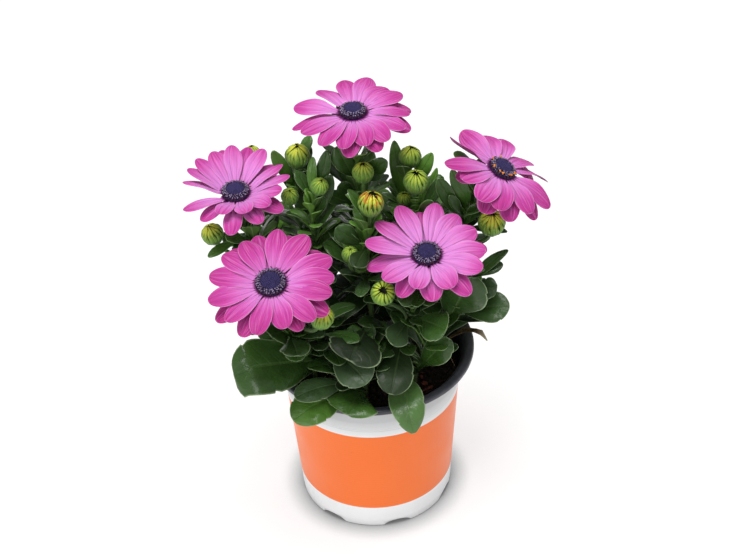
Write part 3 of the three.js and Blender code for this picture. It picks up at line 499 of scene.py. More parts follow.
class Finish:
    """A material under way: its tree, its shader and the marks of the pieces that wear it.
    What is the same all over the surface is set on the shader itself: its roughness, its IOR,
    its specular level and any other socket by name."""

    def __init__(self, name, roughness, ior, specular=0.5, **shader):
        self.material = bpy.data.materials.new(name)
        self.material.use_nodes = True
        self.tree = self.material.node_tree
        self.shader = self.tree.nodes["Principled BSDF"]
        shader.update(Roughness=roughness, IOR=ior, Specular_IOR_Level=specular)
        for key, value in shader.items():
            self.shader.inputs[key.replace("_", " ")].default_value = value
        marks = self.add("Attribute", attribute_name="blade").outputs["Vector"]
        self.along, self.across, self.tone = self.add("SeparateXYZ", marks).outputs
        self.wax = self.add("Attribute", attribute_name="wax").outputs["Fac"]
        self.place = self.add("TexCoord").outputs["Object"]
        self.aside = self.add("Math", self.across, **SIZE)

    def add(self, kind, *values, **settings):
        """Adds a node with its settings. The values feed its inputs in order, and settings in
        capitals feed inputs by name: each is a number, a hex colour, a socket or a node."""
        node = self.tree.nodes.new("ShaderNode" + kind)
        for key, value in settings.items():
            if key[0].islower():
                setattr(node, key, value)
        feeds = list(zip([socket for socket in node.inputs if socket.enabled], values))
        feeds += [(node.inputs[key], value) for key, value in settings.items() if key[0].isupper()]
        for socket, value in feeds:
            if isinstance(value, bpy.types.Node):
                value = next(output for output in value.outputs if output.enabled)
            if isinstance(value, bpy.types.NodeSocket):
                self.tree.links.new(value, socket)
            else:
                socket.default_value = srgb(value) if isinstance(value, str) else value
        return node

    def wear(self, coats, relief=None, depth=0.0, **nodes):
        """Lays coats of colour over each other, presses the relief in, this many millimetres
        deep, and gives the finished material. The first coat is a colour, each other one a
        share and a colour. A relief that is a number is the grain's size in millimetres."""
        colour = coats[0]
        for share, coat in coats[1:]:
            colour = self.add("Mix", share, colour, coat, **COLOUR)
        nodes["Base_Color"] = colour
        if depth:
            if not isinstance(relief, bpy.types.Node):
                relief = self.add("TexNoise", self.place, METRE / relief)
            nodes["Normal"] = self.add("Bump", Height=relief, Distance=depth / METRE)
        for key, node in nodes.items():
            output = next(output for output in node.outputs if output.enabled)
            self.tree.links.new(output, self.shader.inputs[key.replace("_", " ")])
        return self.material


def leaf_face():
    """A living leaf, fleshy and lightly waxed: satin, with a pale hairy margin that is partly a
    painted highlight, a sunken midrib, faint side veins and a painted grey sheen where it catches
    the light."""
    f = Finish("osteospermum leaf, waxed upper face", 0.34, 1.42, 0.5)
    blotch = f.add("MapRange", f.add("TexNoise", f.place, METRE / 9, 3.0), 0.35, 0.75, 0.0, 0.4)
    # The side veins leave the midrib every tenth of the blade and slant towards the tip.
    slant = f.add("Math", f.aside, -0.2, f.along, **TIMES_PLUS)
    ripple = f.add("Math", f.add("Math", slant, 2 * math.pi / 0.1, **TIMES), **SINE)
    veins = f.add("MapRange", ripple, 0.75, 1.0, **SOFT)
    midrib = f.add("MapRange", f.aside, 0.09, 0.02, **SOFT)
    fade = f.add("MapRange", f.along, 0.9, 0.2, 0.0, 0.35)
    # The pale margin is partly the leaf's own hairy edge and partly a painted highlight along it.
    margin_and_highlight = f.add("Math", f.add("MapRange", f.aside, 0.93, 0.99),
                   f.add("MapRange", f.along, 0.985, 1.0), **LARGER)
    swell = f.add("Math", f.add("TexNoise", f.place, METRE / 6, 1.0), 1.4, **TIMES)
    relief = f.add("Math", f.add("TexNoise", f.place, METRE / 1.6), 0.3, swell, **TIMES_PLUS)
    relief = f.add("Math", veins, -0.12, relief, **TIMES_PLUS)
    relief = f.add("Math", midrib, -0.5, relief, **TIMES_PLUS)
    gloss = f.add("MapRange", f.add("TexNoise", f.place, METRE / 11), 0.3, 0.7, 0.2, 0.38)
    # The dark inner leaves are duller than the ones in full light.
    gloss = f.add("Math", gloss, f.add("MapRange", f.tone, 0.3, 0.05, 0.0, 0.22))
    return f.wear([
        "#17240f",
        (f.add("MapRange", f.tone, 0.0, 0.45), "#3c6124"),
        (f.add("MapRange", f.tone, 0.4, 1.0), "#74a93e"),
        (blotch, "#213612"),
        # The grey coat is the painted sheen.
        (f.add("Math", f.wax, 0.4, **TIMES), "#5c6d5c"),
        (f.add("Math", veins, 0.02, **TIMES), "#7d9a62"),
        (f.add("Math", midrib, fade, **TIMES), "#7a9857"),
        (f.add("Math", margin_and_highlight, 0.8, **TIMES), "#a3b78c"),
    ], relief, 0.4, Roughness=gloss)


def leaf_under():
    """The leaf's lower face: paler, duller, with the midrib standing out."""
    f = Finish("osteospermum leaf, matt lower face", 0.6, 1.42, 0.3)
    blotch = f.add("MapRange", f.add("TexNoise", f.place, METRE / 4, 3.0), 0.3, 0.7, 0.0, 0.3)
    midrib = f.add("MapRange", f.aside, 0.12, 0.03, 0.0, 0.6)
    coats = ["#34492a", (f.tone, "#6f9a3c"), (blotch, "#405634"), (midrib, "#90a676")]
    return f.wear(coats, 1.2, 0.12)


def ray_face():
    """A ray floret: thin satin tissue, lilac at its foot and deep pink towards its tip, with
    fine lengthwise streaks and a hair-thin pale rim that is a painted highlight."""
    f = Finish("ray floret, satin upper face", 0.6, 1.4, 0.15,
               Subsurface_Weight=0.12, Subsurface_Scale=0.001)
    # Tone sets how far down the ray the deep pink comes. It carries the bloom's depth and, on the
    # lower layer, painted shade.
    pink = f.add("Math", f.tone, 0.5, f.add("Math", f.along, 0.9, **TIMES), **TIMES_PLUS)
    # Streaks run the whole ray, about a millimetre wide; every ray has its own.
    spread = f.add("CombineXYZ", f.add("Math", f.across, 5.0, **TIMES),
                   f.add("Math", f.along, 1.1, **TIMES), f.wax)
    streak = f.add("TexNoise", spread, 1.7, 3.5)
    # The creases follow the grooves; the dark coat that they carry is painted shade in the grooves.
    crease = f.add("Math", f.add("Math", f.aside, GROOVE_AT, **LESS), **SIZE)
    crease = f.add("MapRange", crease, 0.07, 0.01, **SOFT)
    faint = f.add("MapRange", f.along, 0.8, 0.15, 0.03, 0.22)
    # The pale rim is a painted highlight along the ray's edges.
    rim = f.add("Math", f.add("MapRange", f.aside, 0.92, 0.98),
                f.add("MapRange", f.along, 0.98, 0.995), **LARGER)
    # The dark foot reaches furthest up the middle of the ray and along its creases.
    foot = f.add("Math", crease, -0.08, f.along, **TIMES_PLUS)
    foot = f.add("Math", streak, -0.1, foot, **TIMES_PLUS)
    return f.wear([
        "#db89d3",
        (f.add("MapRange", pink, 0.3, 0.95, **SOFT), "#c648a1"),
        (f.add("MapRange", pink, 0.75, 1.4), "#a82876"),
        (f.add("MapRange", streak, 0.5, 0.75, 0.0, 0.34), "#eea6e4"),
        (f.add("MapRange", streak, 0.48, 0.25, 0.0, 0.42), "#9c2a78"),
        (f.add("Math", crease, faint, **TIMES), "#8e2f86"),
        (f.add("Math", rim, f.add("MapRange", f.along, 0.1, 0.3, 0.0, 0.5), **TIMES), "#f3b6e7"),
        (f.add("MapRange", foot, 0.12, 0.05, **SOFT), "#6b2266"),
    ], f.add("Math", streak, crease, **LESS), 0.18)


def ray_under():
    """The ray's lower face: dull mauve brown with darker stripes."""
    f = Finish("ray floret, matt lower face", 0.65, 1.4, 0.3)
    wave = f.add("Math", f.add("Math", f.across, 11.0, **TIMES), **SINE)
    return f.wear([
        "#8a4a72",
        (f.add("MapRange", f.along, 0.1, 0.9), "#ab4f93"),
        (f.add("MapRange", wave, 0.2, 0.9, 0.0, 0.55), "#6b3350"),
    ], 1.5, 0.1)


def green_stem():
    """Young stem tissue: ribbed, finely hairy, a little brown where it is older."""
    f = Finish("herbaceous stem, finely hairy", 0.55, 1.42, 0.3, Sheen_Weight=0.15)
    ribs = f.add("Math", f.add("Math", f.across, 9.0, **TIMES), **SINE)
    blotch = f.add("MapRange", f.add("TexNoise", f.place, METRE / 3, 3.0), 0.4, 0.7, 0.0, 0.4)
    return f.wear([
        "#3b3a22",
        (f.add("MapRange", f.along, 0.0, 0.5), "#4d7230"),
        (f.add("MapRange", ribs, 0.1, 0.9, 0.0, 0.4), "#84a25c"),
        (blotch, "#2f451b"),
    ], 0.8, 0.15)


def bract_skin():
    """Bracts: leaf tissue pressed into narrow scales, green with a thin pale rim."""
    f = Finish("bract, leafy scale", 0.5, 1.42, 0.3, Sheen_Weight=0.1)
    ripe = f.add("Math", f.tone, f.add("MapRange", f.along, 0.55, 1.0, 0.0, 0.8), **TIMES)
    blotch = f.add("MapRange", f.add("TexNoise", f.place, METRE / 2.2, 3.0), 0.42, 0.7, 0.0, 0.4)
    return f.wear([
        "#456d2a",
        (f.add("MapRange", f.along, 0.1, 0.7), "#6f9c3c"),
        (ripe, "#a3b340"),
        (f.add("MapRange", f.aside, 0.3, 0.02, 0.0, 0.35), "#3c5c1f"),
        (blotch, "#3a571f"),
        (f.add("MapRange", f.aside, 0.6, 0.95, 0.0, 0.7), "#a4bd6e"),
    ], 0.9, 0.15)


def bud_ray_skin():
    """Young rays still folded: yellow-green wedges with thin dark folds, some streaked with orange
    brown. The dark folds and the near-black mouth where the tips meet are painted shade. Its fourth
    mark carries the orange. An orange bud has opened, so its folds are shallower and their painted
    shade lighter."""
    f = Finish("young ray florets, folded", 0.55, 1.4, 0.3)
    tip = f.add("Mix", f.tone, "#8bb03c", "#dade44", **COLOUR)
    streak = f.add("MapRange", f.add("TexNoise", f.place, METRE / 3, 3.0), 0.44, 0.56, 0.0, 0.9)
    orange = f.add("Math", f.wax, streak, **TIMES)
    # The dark lines at the wedges' edges are painted shade in the folds between them.
    fold = f.add("Math", f.add("MapRange", f.aside, 0.5, 0.9),
                 f.add("MapRange", f.along, 0.3, 0.8, 0.5, 1.0), **TIMES)
    # The near-black tips are painted shade in the bud's mouth.
    mouth = f.add("MapRange", f.along, 0.955, 0.99, 0.0, 0.85)
    opening = f.add("MapRange", f.wax, 0.0, 1.0, 1.0, 0.55)
    return f.wear([
        "#5d8a33",
        (f.add("MapRange", f.along, 0.5, 0.9, **SOFT), tip),
        (f.add("Math", orange, f.add("MapRange", f.along, 0.45, 0.7), **TIMES), "#b56a20"),
        (f.add("MapRange", f.aside, 0.3, 0.0, 0.0, 0.3), "#dee07c"),
        (f.add("Math", fold, opening, **TIMES), "#27330c"),
        (f.add("Math", mouth, opening, **TIMES), "#121a06"),
    ], 0.9, 0.15)


def disc_skin():
    """Closed disc florets: small matt slate-violet knobs, painted lighter on top and almost black
    between them: painted highlight and shade.
    """
    f = Finish("disc florets, closed", 0.7, 1.4, 0.25)
    blotch = f.add("MapRange", f.add("TexNoise", f.place, METRE / 1.8), 0.42, 0.65, 0.0, 0.4)
    return f.wear(["#1d1532", (f.along, "#4b4375"), (blotch, "#2c2349")], 0.6, 0.12)


def anther_skin():
    """Open disc florets: dark violet tubes with pale lavender lobes."""
    f = Finish("disc florets, open lobes", 0.6, 1.4, 0.3)
    lobes = f.add("MapRange", f.along, 0.4, 0.85)
    blotch = f.add("MapRange", f.add("TexNoise", f.place, METRE / 1.4), 0.42, 0.6, 0.0, 0.75)
    return f.wear(["#361b3c", (lobes, "#b5acd0"), (blotch, "#5b4458")], 0.5, 0.1)


def rim_floret_skin():
    """The outermost florets: purple black mottled with brown, satin."""
    f = Finish("disc florets, purple-black rim", 0.5, 1.4, 0.3)
    knobs = f.add("MapRange", f.along, 0.2, 1.0)
    blotch = f.add("MapRange", f.add("TexNoise", f.place, METRE / 0.8), 0.45, 0.65, 0.0, 0.6)
    return f.wear(["#220c22", (knobs, "#552748"), (blotch, "#4a322e")], 0.5, 0.1)


def pollen_skin():
    """Pollen: powdery orange grains clumped in beads."""
    f = Finish("pollen, clumped", 0.85, 1.45)
    grain = f.add("TexNoise", f.place, METRE / 0.6)
    return f.wear(["#d9641c", (f.add("MapRange", grain, 0.4, 0.6), "#f2a22e")], grain, 0.15)


def withered_skin():
    """A dead leaf: dry, crumpled, brown, bleached where it thins."""
    f = Finish("leaf, dried brown", 0.85, 1.4)
    crumple = f.add("TexNoise", f.place, METRE / 2, 4.0)
    return f.wear([
        "#3a2a1c",
        (f.add("MapRange", crumple, 0.35, 0.65), "#7d6142"),
        (f.add("MapRange", f.along, 0.8, 0.98, 0.0, 0.8), "#c9bda4"),
    ], crumple, 0.4)


def pot_outside():
    """Polypropylene, injection moulded in white and printed with a plain orange band: smooth
    and softly glossy, with faint rings from turning the mould and the odd speck of peat."""
    f = Finish("polypropylene, moulded and screen printed", 0.34, 1.49, 0.4)
    height = f.add("Math", f.add("SeparateXYZ", f.place).outputs[2], METRE, **TIMES)
    # The ink's edge wanders by less than a tenth of a millimetre.
    level = f.add("Math", f.add("TexNoise", f.place, METRE / 1.5), 0.16, height, **TIMES_PLUS)
    band = f.add("Math", f.add("MapRange", level, BAND[0] - 0.04, BAND[0] + 0.2),
                 f.add("MapRange", level, BAND[1] + 0.2, BAND[1] - 0.04), **TIMES)
    uneven = f.add("MapRange", f.add("TexNoise", f.place, METRE / 45), 0.3, 0.7, 0.0, 0.4)
    orange = f.add("Mix", uneven, "#fb7320", "#ff7d2c", **COLOUR)
    milky = f.add("MapRange", f.add("TexNoise", f.place, METRE / 22, 3.0), 0.35, 0.7, 0.0, 0.5)
    # Two hair-thin steps in the mould run round the collar, this far above and below its middle.
    # Thin grey lines are painted at them: painted shade in the steps.
    steps = height
    for distance in (BAND[1] + 5.6, 0.8):
        steps = f.add("Math", f.add("Math", steps, distance, **LESS), **SIZE)
    specks = f.add("MapRange", f.add("TexNoise", f.place, METRE / 1.3, 1.0), 0.77, 0.8, 0.0, 0.7)
    splash = f.add("MapRange", height, 14.0, 2.0, 0.3, 1.0)
    # The tool marks are finer on a real pot; they are drawn 1.7 mm apart so that they show.
    rings = f.add("Math", f.add("Math", height, 2 * math.pi / 1.7, **TIMES), **SINE)
    relief = f.add("Math", rings, 0.2, f.add("TexNoise", f.place, METRE / 3), **TIMES_PLUS)
    gloss = f.add("MapRange", f.add("TexNoise", f.place, METRE / 14), 0.3, 0.7, 0.3, 0.42)
    return f.wear([
        "#f8f9fa",
        (milky, "#eeeff1"),
        # The collar is painted grey towards the lip: painted shade cast by the lip over it.
        (f.add("MapRange", height, 74.0, 90.0, 0.0, 0.9), "#b8b9bb"),
        (f.add("MapRange", steps, 0.45, 0.1, 0.0, 0.3), "#8e9096"),
        (band, orange),
        (f.add("Math", specks, splash, **TIMES), "#5a4a3c"),
    ], relief, 0.06, Roughness=gloss)


def pot_inside():
    """The pot's inner shell and lip: black polypropylene, moulded, dulled by dust and water."""
    f = Finish("polypropylene, black inner shell", 0.38, 1.49)
    height = f.add("SeparateXYZ", f.place).outputs[2]
    # Lighter grey towards the top of the lip.
    lighter_towards_lip = f.add("MapRange", height, 96 / METRE, 104 / METRE)
    dust = f.add("MapRange", f.add("TexNoise", f.place, METRE / 9, 4.0), 0.45, 0.7, 0.0, 0.5)
    specks = f.add("MapRange", f.add("TexNoise", f.place, METRE / 1.4), 0.68, 0.74, 0.0, 0.8)
    gloss = f.add("MapRange", f.add("TexNoise", f.place, METRE / 6), 0.3, 0.7, 0.3, 0.55)
    grain = f.add("TexNoise", f.place, METRE / 2.5, 3.0)
    coats = ["#1b1b20", (lighter_towards_lip, "#3a3b44"), (dust, "#52525c"), (specks, "#2c1d12")]
    return f.wear(coats, grain, 0.08, Roughness=gloss)


def peat():
    """Peat potting soil, sieved and damp: near black, crumbly, with tan fibres."""
    f = Finish("peat substrate, damp", 0.92, 1.4)
    crumbs = f.add("MapRange", f.add("TexNoise", f.place, METRE / 5, 5.0), 0.3, 0.7)
    fibres = f.add("MapRange", f.add("TexNoise", f.place, METRE / 1.5, 3.0), 0.6, 0.75, 0.0, 0.7)
    grain = f.add("TexNoise", f.place, METRE / 2, 5.0)
    return f.wear(["#110d0a", (crumbs, "#2d1f17"), (fibres, "#4a3426")], grain, 0.8)


def bark():
    """Composted bark: chips torn along the grain, reddish brown."""
    f = Finish("composted bark, torn", 0.85, 1.4)
    fibre = f.add("TexNoise", f.add("Mapping", f.place, Scale=(1, 1, 4)), METRE / 1.5, 4.0)
    torn = f.add("MapRange", fibre, 0.4, 0.65, 0.0, 0.7)
    return f.wear(["#33211a", (f.tone, "#7d3d2e"), (torn, "#1d120d")], fibre, 0.3)


def root_fibre():
    """Dead root: pale tan fibre."""
    f = Finish("root fibre, dry", 0.8, 1.4)
    grain = f.add("TexNoise", f.place, METRE / 2, 3.0)
    return f.wear(["#7d6a52", (f.add("MapRange", grain, 0.4, 0.6), "#b19c80")], grain, 0.1)


def paper():
    """Matt white backdrop paper, without visible grain. It glows evenly, and its glow darkens only
    where the foot of the pot stands close to it: a painted contact shadow."""
    f = Finish("backdrop paper, matt white", 0.95, 1.3, 0.1, Emission_Color=srgb("#ffffff"))
    shade = f.add("MapRange", f.add("AmbientOcclusion", Distance=0.022).outputs["AO"], 0.42, 0.85)
    mottle = f.add("MapRange", f.add("TexNoise", f.place, METRE / 60), 0.4, 0.6)
    glow = f.add("Math", shade, 0.67, **TIMES)
    return f.wear(["#a8a8a8", (mottle, "#aaaaaa")], Emission_Strength=glow)


LEAF = [leaf_face(), leaf_under()]
RAY = [ray_face(), ray_under()]
STEM, BRACT, BUD_RAYS = green_stem(), bract_skin(), bud_ray_skin()
DISC = [disc_skin(), anther_skin(), rim_floret_skin(), pollen_skin()]
POT = [pot_outside(), pot_inside()]

# ---------------------------------------------------------------- pot
LIP_UNDER = RIM_HEIGHT - LIP_DEPTH


def wall_radius(height):
    return BASE_RADIUS + WALL_SLOPE * height


def make_pot():
    """The pot in two profiles: its floor and outer wall, then its lip and inner wall."""
    shoulder, step_at = wall_radius(SHOULDER_HEIGHT), SHOULDER_HEIGHT
    collar = shoulder + SHOULDER_STEP
    foot, inner_foot = BASE_RADIUS, BASE_RADIUS - FOOT_WIDTH
    rim, top, mouth = RIM_RADIUS, RIM_HEIGHT, RIM_RADIUS - LIP_WIDTH
    outside = [
        (0.01, UNDERSIDE), (inner_foot - 1.2, UNDERSIDE), (inner_foot - 0.1, UNDERSIDE - 0.3),
        (inner_foot, UNDERSIDE - 1.2), (inner_foot, 1), (inner_foot + 0.1, 0.3),
        (inner_foot + 0.6, 0), (foot - 0.7, 0), (foot - 0.15, 0.3), (foot + 0.08, 1),
        (wall_radius(4.2), 4.2), (wall_radius(5.2) + 0.15, 5.2), (wall_radius(6), 6),
        *[(wall_radius(z), z) for z in np.linspace(7, step_at - 1, 16)],
        (shoulder - 0.02, step_at - 0.3), (shoulder + 0.3, step_at + 0.4),
        (collar - 0.08, step_at + 1.1), (collar + 0.1, step_at + 2),
        (52.25, 88), (52.5, 88.5), (52.6, 89.2), (53.2, 94), (53.7, 98), (NECK_RADIUS, LIP_UNDER),
    ]
    inside = [
        (NECK_RADIUS, LIP_UNDER), (rim - 1, LIP_UNDER), (rim - 0.25, LIP_UNDER + 0.2),
        (rim, LIP_UNDER + 0.8), (rim, top - 1.1), (rim - 0.25, top - 0.35),
        (rim - 0.9, top - 0.02), (rim - 1.4, top),
        (mouth + 1.4, top - 0.1), (mouth + 0.5, top - 0.35), (mouth, top - 1),
        (NECK_RADIUS - WALL, LIP_UNDER), (NECK_RADIUS - WALL - 0.7, 95),
        (shoulder - WALL + 0.4, step_at + 3), (shoulder - WALL, step_at),
        (wall_radius(40) - WALL, 40), (wall_radius(UNDERSIDE) - WALL, UNDERSIDE + WALL),
        (0.01, UNDERSIDE + WALL),
    ]
    turn = circle(POT_SIDES)
    front = turn + np.pi / 2 - math.radians(FOOT_TURN)
    pitch = 2 * np.pi / FEET
    off = (np.mod(front, pitch) - pitch / 2) * BASE_RADIUS / (ARCH_WIDTH / 2)
    arch = ARCH_HEIGHT * np.sqrt(np.clip(1 - off**2, 0, 1))
    skin = Skin()
    for finish, profile in enumerate((outside, inside)):
        radius, height = np.array(profile).T[..., None]
        rings = turned(radius, height, turn)
        raised = np.maximum(rings[..., 2], arch)
        rings[..., 2] = np.where(height < ARCH_HEIGHT, raised, rings[..., 2])
        skin.lathe(rings, finish=finish, flip=True)
    skin.piece("pot_shell", POT, "pot", "pot")


# ---------------------------------------------------------------- soil
WAVES = [(chance.uniform(-1, 1, 2) * 2 * np.pi / size, chance.uniform(0, 7), size)
         for size in np.geomspace(3, 26, 26)]


def soil_height(x, y):
    bumps = sum(0.06 * size**0.72 * np.sin(way[0] * x + way[1] * y + start)
                for way, start, size in WAVES)
    return SOIL_HEIGHT - 1.6 * smooth(np.hypot(x, y), 36, 50) + 0.55 * bumps


def icosahedron():
    """Its corners, for edges 2 long, and its faces."""
    golden = (1 + 5**0.5) / 2
    first = [(a, b * golden, 0) for a in (-1, 1) for b in (-1, 1)]
    corners = first + [(z, x, y) for x, y, z in first] + [(y, z, x) for x, y, z in first]
    corners = np.array(corners, float)
    faces = []
    for i, j, k in itertools.combinations(range(12), 3):
        a, b, c = corners[[i, j, k]]
        if max(np.linalg.norm([a - b, b - c, c - a], axis=1)) < 2.1:
            faces.append((i, j, k) if np.cross(b - a, c - a) @ a > 0 else (i, k, j))
    return corners, faces


CLOD, CLOD_FACES = icosahedron()


def lump(size, squash=0.25):
    """A small rough clod: an icosahedron pushed about and turned."""
    corners = CLOD * (1 + chance.uniform(-squash, squash, (12, 1)))
    turn = np.linalg.qr(chance.normal(size=(3, 3)))[0]
    if np.linalg.det(turn) < 0:
        turn[0] *= -1
    return (corners / 1.9 * np.asarray(size) / 2) @ turn


def make_soil():
    """Potting mix: a settled surface with lumps of peat, chips of bark and dead roots on it."""
    edge = wall_radius(SHOULDER_HEIGHT) - WALL - 0.3
    skin = Skin()
    turn = circle(110)
    top = turned(np.concatenate([[0.01], np.linspace(2, edge, 30)])[:, None], 0.0, turn)
    top[..., 2] = soil_height(top[..., 0], top[..., 1])
    under = turned([[edge], [wall_radius(SOIL_FLOOR) - WALL - 0.3], [0.01]],
                   [[SHOULDER_HEIGHT], [SOIL_FLOOR], [SOIL_FLOOR]], turn)
    skin.lathe(np.concatenate([top, under]))
    for _ in range(PEAT_LUMPS):
        reach, angle = edge * math.sqrt(chance.uniform(0, 0.97)), chance.uniform(0, 2 * np.pi)
        x, y = reach * math.cos(angle), reach * math.sin(angle)
        size = chance.uniform(0.9, 2.6) if chance.uniform() < 0.85 else chance.uniform(2.6, 4.5)
        skin.add(lump(size) + [x, y, soil_height(x, y) + 0.15 * size], CLOD_FACES)
    skin.piece("soil_surface", [peat()], "soil", "soil")

    chips = Skin()
    spots = [(*turned(chance.uniform(0, 46), 0, a)[:2], chance.uniform(0, 0.6), 1.0)
             for a in chance.uniform(0, 2 * np.pi, BARK_CHIPS)]
    for x, y, tone, grow in spots + BARE_CHIPS:
        size = grow * np.array([chance.uniform(*span) for span in ((3, 7), (1.5, 3), (1, 1.8))])
        chip = lump(size, 0.2) * [1, 1, 0.6] + [x, y, soil_height(x, y) + 0.8]
        chips.add(chip, CLOD_FACES, (0, 0, tone, 0))
    chips.piece("soil_bark_chips", [bark()], "soil")

    fibres = Skin()
    roots = [BARE_ROOT]
    for _ in range(DEAD_ROOTS):
        start = np.array([*(chance.uniform(8, 42) * unit(chance.normal(size=2))), 0.4])
        swing = chance.normal(size=(3, 3)) * [3.5, 3.5, 0.25]
        roots.append([start, *(start + np.cumsum(swing, 0))])
    for order, controls in enumerate(roots):
        path, _ = bezier(controls, np.linspace(0, 1, 14))
        path[:, 2] = soil_height(path[:, 0], path[:, 1]) + np.maximum(path[:, 2], 0.2)
        fibres.tube(path, 0.22 if order else 0.45, 5)
    fibres.piece("soil_root_fibres", [root_fibre()], "soil")


# ---------------------------------------------------------------- blooms
RAY_ALONG = np.concatenate([np.linspace(0, 0.84, 12), [0.9, 0.94, 0.968, 0.986, 0.996, 1]])[:, None]
RAY_ACROSS = np.array([[-1, -0.965, -0.8, -0.56, -0.36, -0.16, 0,
                        0.16, 0.36, 0.56, 0.8, 0.965, 1]])


def ray_half_width(along):
    body = np.clip(tip_shape(along, 0, 1.5), 0, 1)**np.where(along > 0.63, 0.47, 0.66)
    return RAY_WIDTH / 2 * np.maximum(body, np.where(along < 0.63, RAY_NARROWEST, 0.05))


def ray_sheet(head, azimuth, length, rise, level, roll, bow, plump):
    """The middle surface of one ray, with its lengthwise grooves. It rolls about its own
    length, bows at its end, and is narrower or wider than most."""
    azimuth, rise = math.radians(azimuth), math.radians(rise)
    reach = length * math.cos(rise)
    radius = RAY_START + (reach - RAY_START) * RAY_ALONG
    past = np.maximum(0, (radius - RAY_BEND) / (reach - RAY_BEND))
    height = level + length * math.sin(rise) * past + RAY_CAMBER * np.sin(np.pi * past)
    side = RAY_ACROSS * ray_half_width(RAY_ALONG) * plump
    groove = np.exp(-((np.abs(RAY_ACROSS) - GROOVE_AT) / GROOVE_WIDTH)**2)
    groove = groove * smooth(RAY_ALONG, 0.05, 0.3) * smooth(RAY_ALONG, 1, 0.8)
    trough = 0.1 * np.abs(side)**1.6 * (1 - 1.5 * past)
    roll = roll * smooth(past, -0.1, 0.45)
    height = height + trough - GROOVE_DEPTH * groove + side * np.sin(roll) + bow * past**2.5
    side = side * np.cos(roll)
    out = turned(radius, 0, azimuth) + side[..., None] * sideways(azimuth)
    out[..., 2] = height
    return in_head(head, out)


def make_petals(name, head):
    """A bloom's two layers of rays, as one piece each. Gives their middle surfaces."""
    sheets = []
    # The lower layer's rays get a deeper pink: painted shade under the upper layer.
    layers = (("upper", head.upper, head.rises[0], 0, 0),
              ("lower", head.lower, head.rises[1], LOWER_LAYER, 0.25))
    for layer, rays, usual, level, layer_shade in layers:
        skin = Skin()
        for azimuth, length, *own in rays:
            roll = ROLLED.get((name, azimuth), 0.12 + chance.uniform(-0.14, 0.14))
            rise = own[0] if own else usual
            bow = CURVED.get((name, azimuth), chance.uniform(-1.6, 0.5))
            azimuth += chance.uniform(-1.5, 1.5)
            plump = PLUMP[name] * chance.uniform(0.92, 1.05)
            sheet = ray_sheet(head, azimuth, length, rise, level, roll, bow, plump)
            sheets.append(sheet)
            tone = np.clip(head.depth * 0.8 + chance.uniform(-0.15, 0.2) + layer_shade, 0, 1)
            thick = 0.6 * thinning(RAY_ACROSS) * smooth(RAY_ALONG, 1.02, 0.9)
            marks = (RAY_ALONG, RAY_ACROSS, tone, chance.uniform(0, 9))
            skin.blade(sheet, thick, head.facing, marks, (0, 1))
        skin.piece(f"bloom_{name}_{layer}_rays", RAY, "petals", f"bloom_{name}_petals")
    return sheets


def disc_height(radius):
    """The dome's height over the head's plane."""
    share = np.clip(np.asarray(radius, float) / DISC_RADIUS, 0, 1)
    return HUB_TOP + DISC_HEIGHT * (1 - share**3.2) * (0.94 + 0.06 * np.cos(np.pi * share))


def make_disc(name, head):
    """The middle of a bloom: closed florets in a spiral on a dome, and rings of open ones."""
    skin = Skin()
    wide = DISC_WIDTH.get(name, 1)
    spread = np.array([wide, wide, 1])
    radius = np.array([0.01, 2, 3.8, 4.9, 5.8, 6.6, 7.3, 7.8, 7.8, 0.01])[:, None]
    height = disc_height(radius) - 0.5
    height[-2:] = HUB_TOP
    dome = turned(radius, np.maximum(height, HUB_TOP), circle(48))
    skin.lathe(in_head(head, dome * spread), (0.1, 0, 0, 0))
    # Each knob is painted light at its top and dark at its foot: painted highlight and shade.
    shade = np.zeros((4, 6, 4))
    shade[..., 0] = [[0.0], [0.5], [0.9], [1.0]]
    for k in range(CLOSED_FLORETS):
        out = 5.0 * math.sqrt((k + 0.5) / CLOSED_FLORETS)
        size = 0.5 * chance.uniform(0.85, 1.1)
        knob = turned(np.array([[size], [size * 0.85], [size * 0.4], [0.01]]),
                      [[-0.5], [0.1], [0.38], [0.42]], circle(6))
        knob += turned(out, disc_height(out) - 0.15, k * math.radians(GOLDEN_ANGLE))
        skin.lathe(in_head(head, knob * spread), shade, flip=True)
    for count, start, end, lift, thick, finish in OPEN_FLORETS:
        for k in range(count):
            angle = 2 * np.pi * (k + chance.uniform(-0.4, 0.4)) / count
            swerve = angle + chance.uniform(-0.12, 0.12)
            level = chance.uniform(-0.4, 0.25)
            path, _ = bezier([
                turned(start, lift[0] + level, angle),
                turned((start + end) / 2, lift[1] + level + 0.2, angle),
                turned(end, lift[1] + level - 0.3, swerve)], np.linspace(0, 1, 5))
            knob = [0.9, 0.8, 0.9, 1.5, 0.8] if finish == 2 else [0.9, 1, 1.1, 1.2, 0.7]
            girth = thick * chance.uniform(0.8, 1.15) * np.array(knob)
            skin.tube(in_head(head, path * spread), girth, 5, finish)
    for angle in POLLEN.get(name, ()):
        for _ in range(3):
            turn = math.radians(angle + chance.uniform(-6, 6))
            bead = lump(1.05) + turned(
                7.2 + chance.uniform(-0.6, 0.5), 3.8 + chance.uniform(-0.3, 0.3), turn)
            skin.add(in_head(head, bead), CLOD_FACES, finish=3)
    skin.piece(f"bloom_{name}_florets", DISC, "disc", f"bloom_{name}_disc")


BRACT_ALONG = np.linspace(0, 1, 9)[:, None]
BRACT_ACROSS = np.array([-1, -0.6, 0, 0.6, 1])[None]


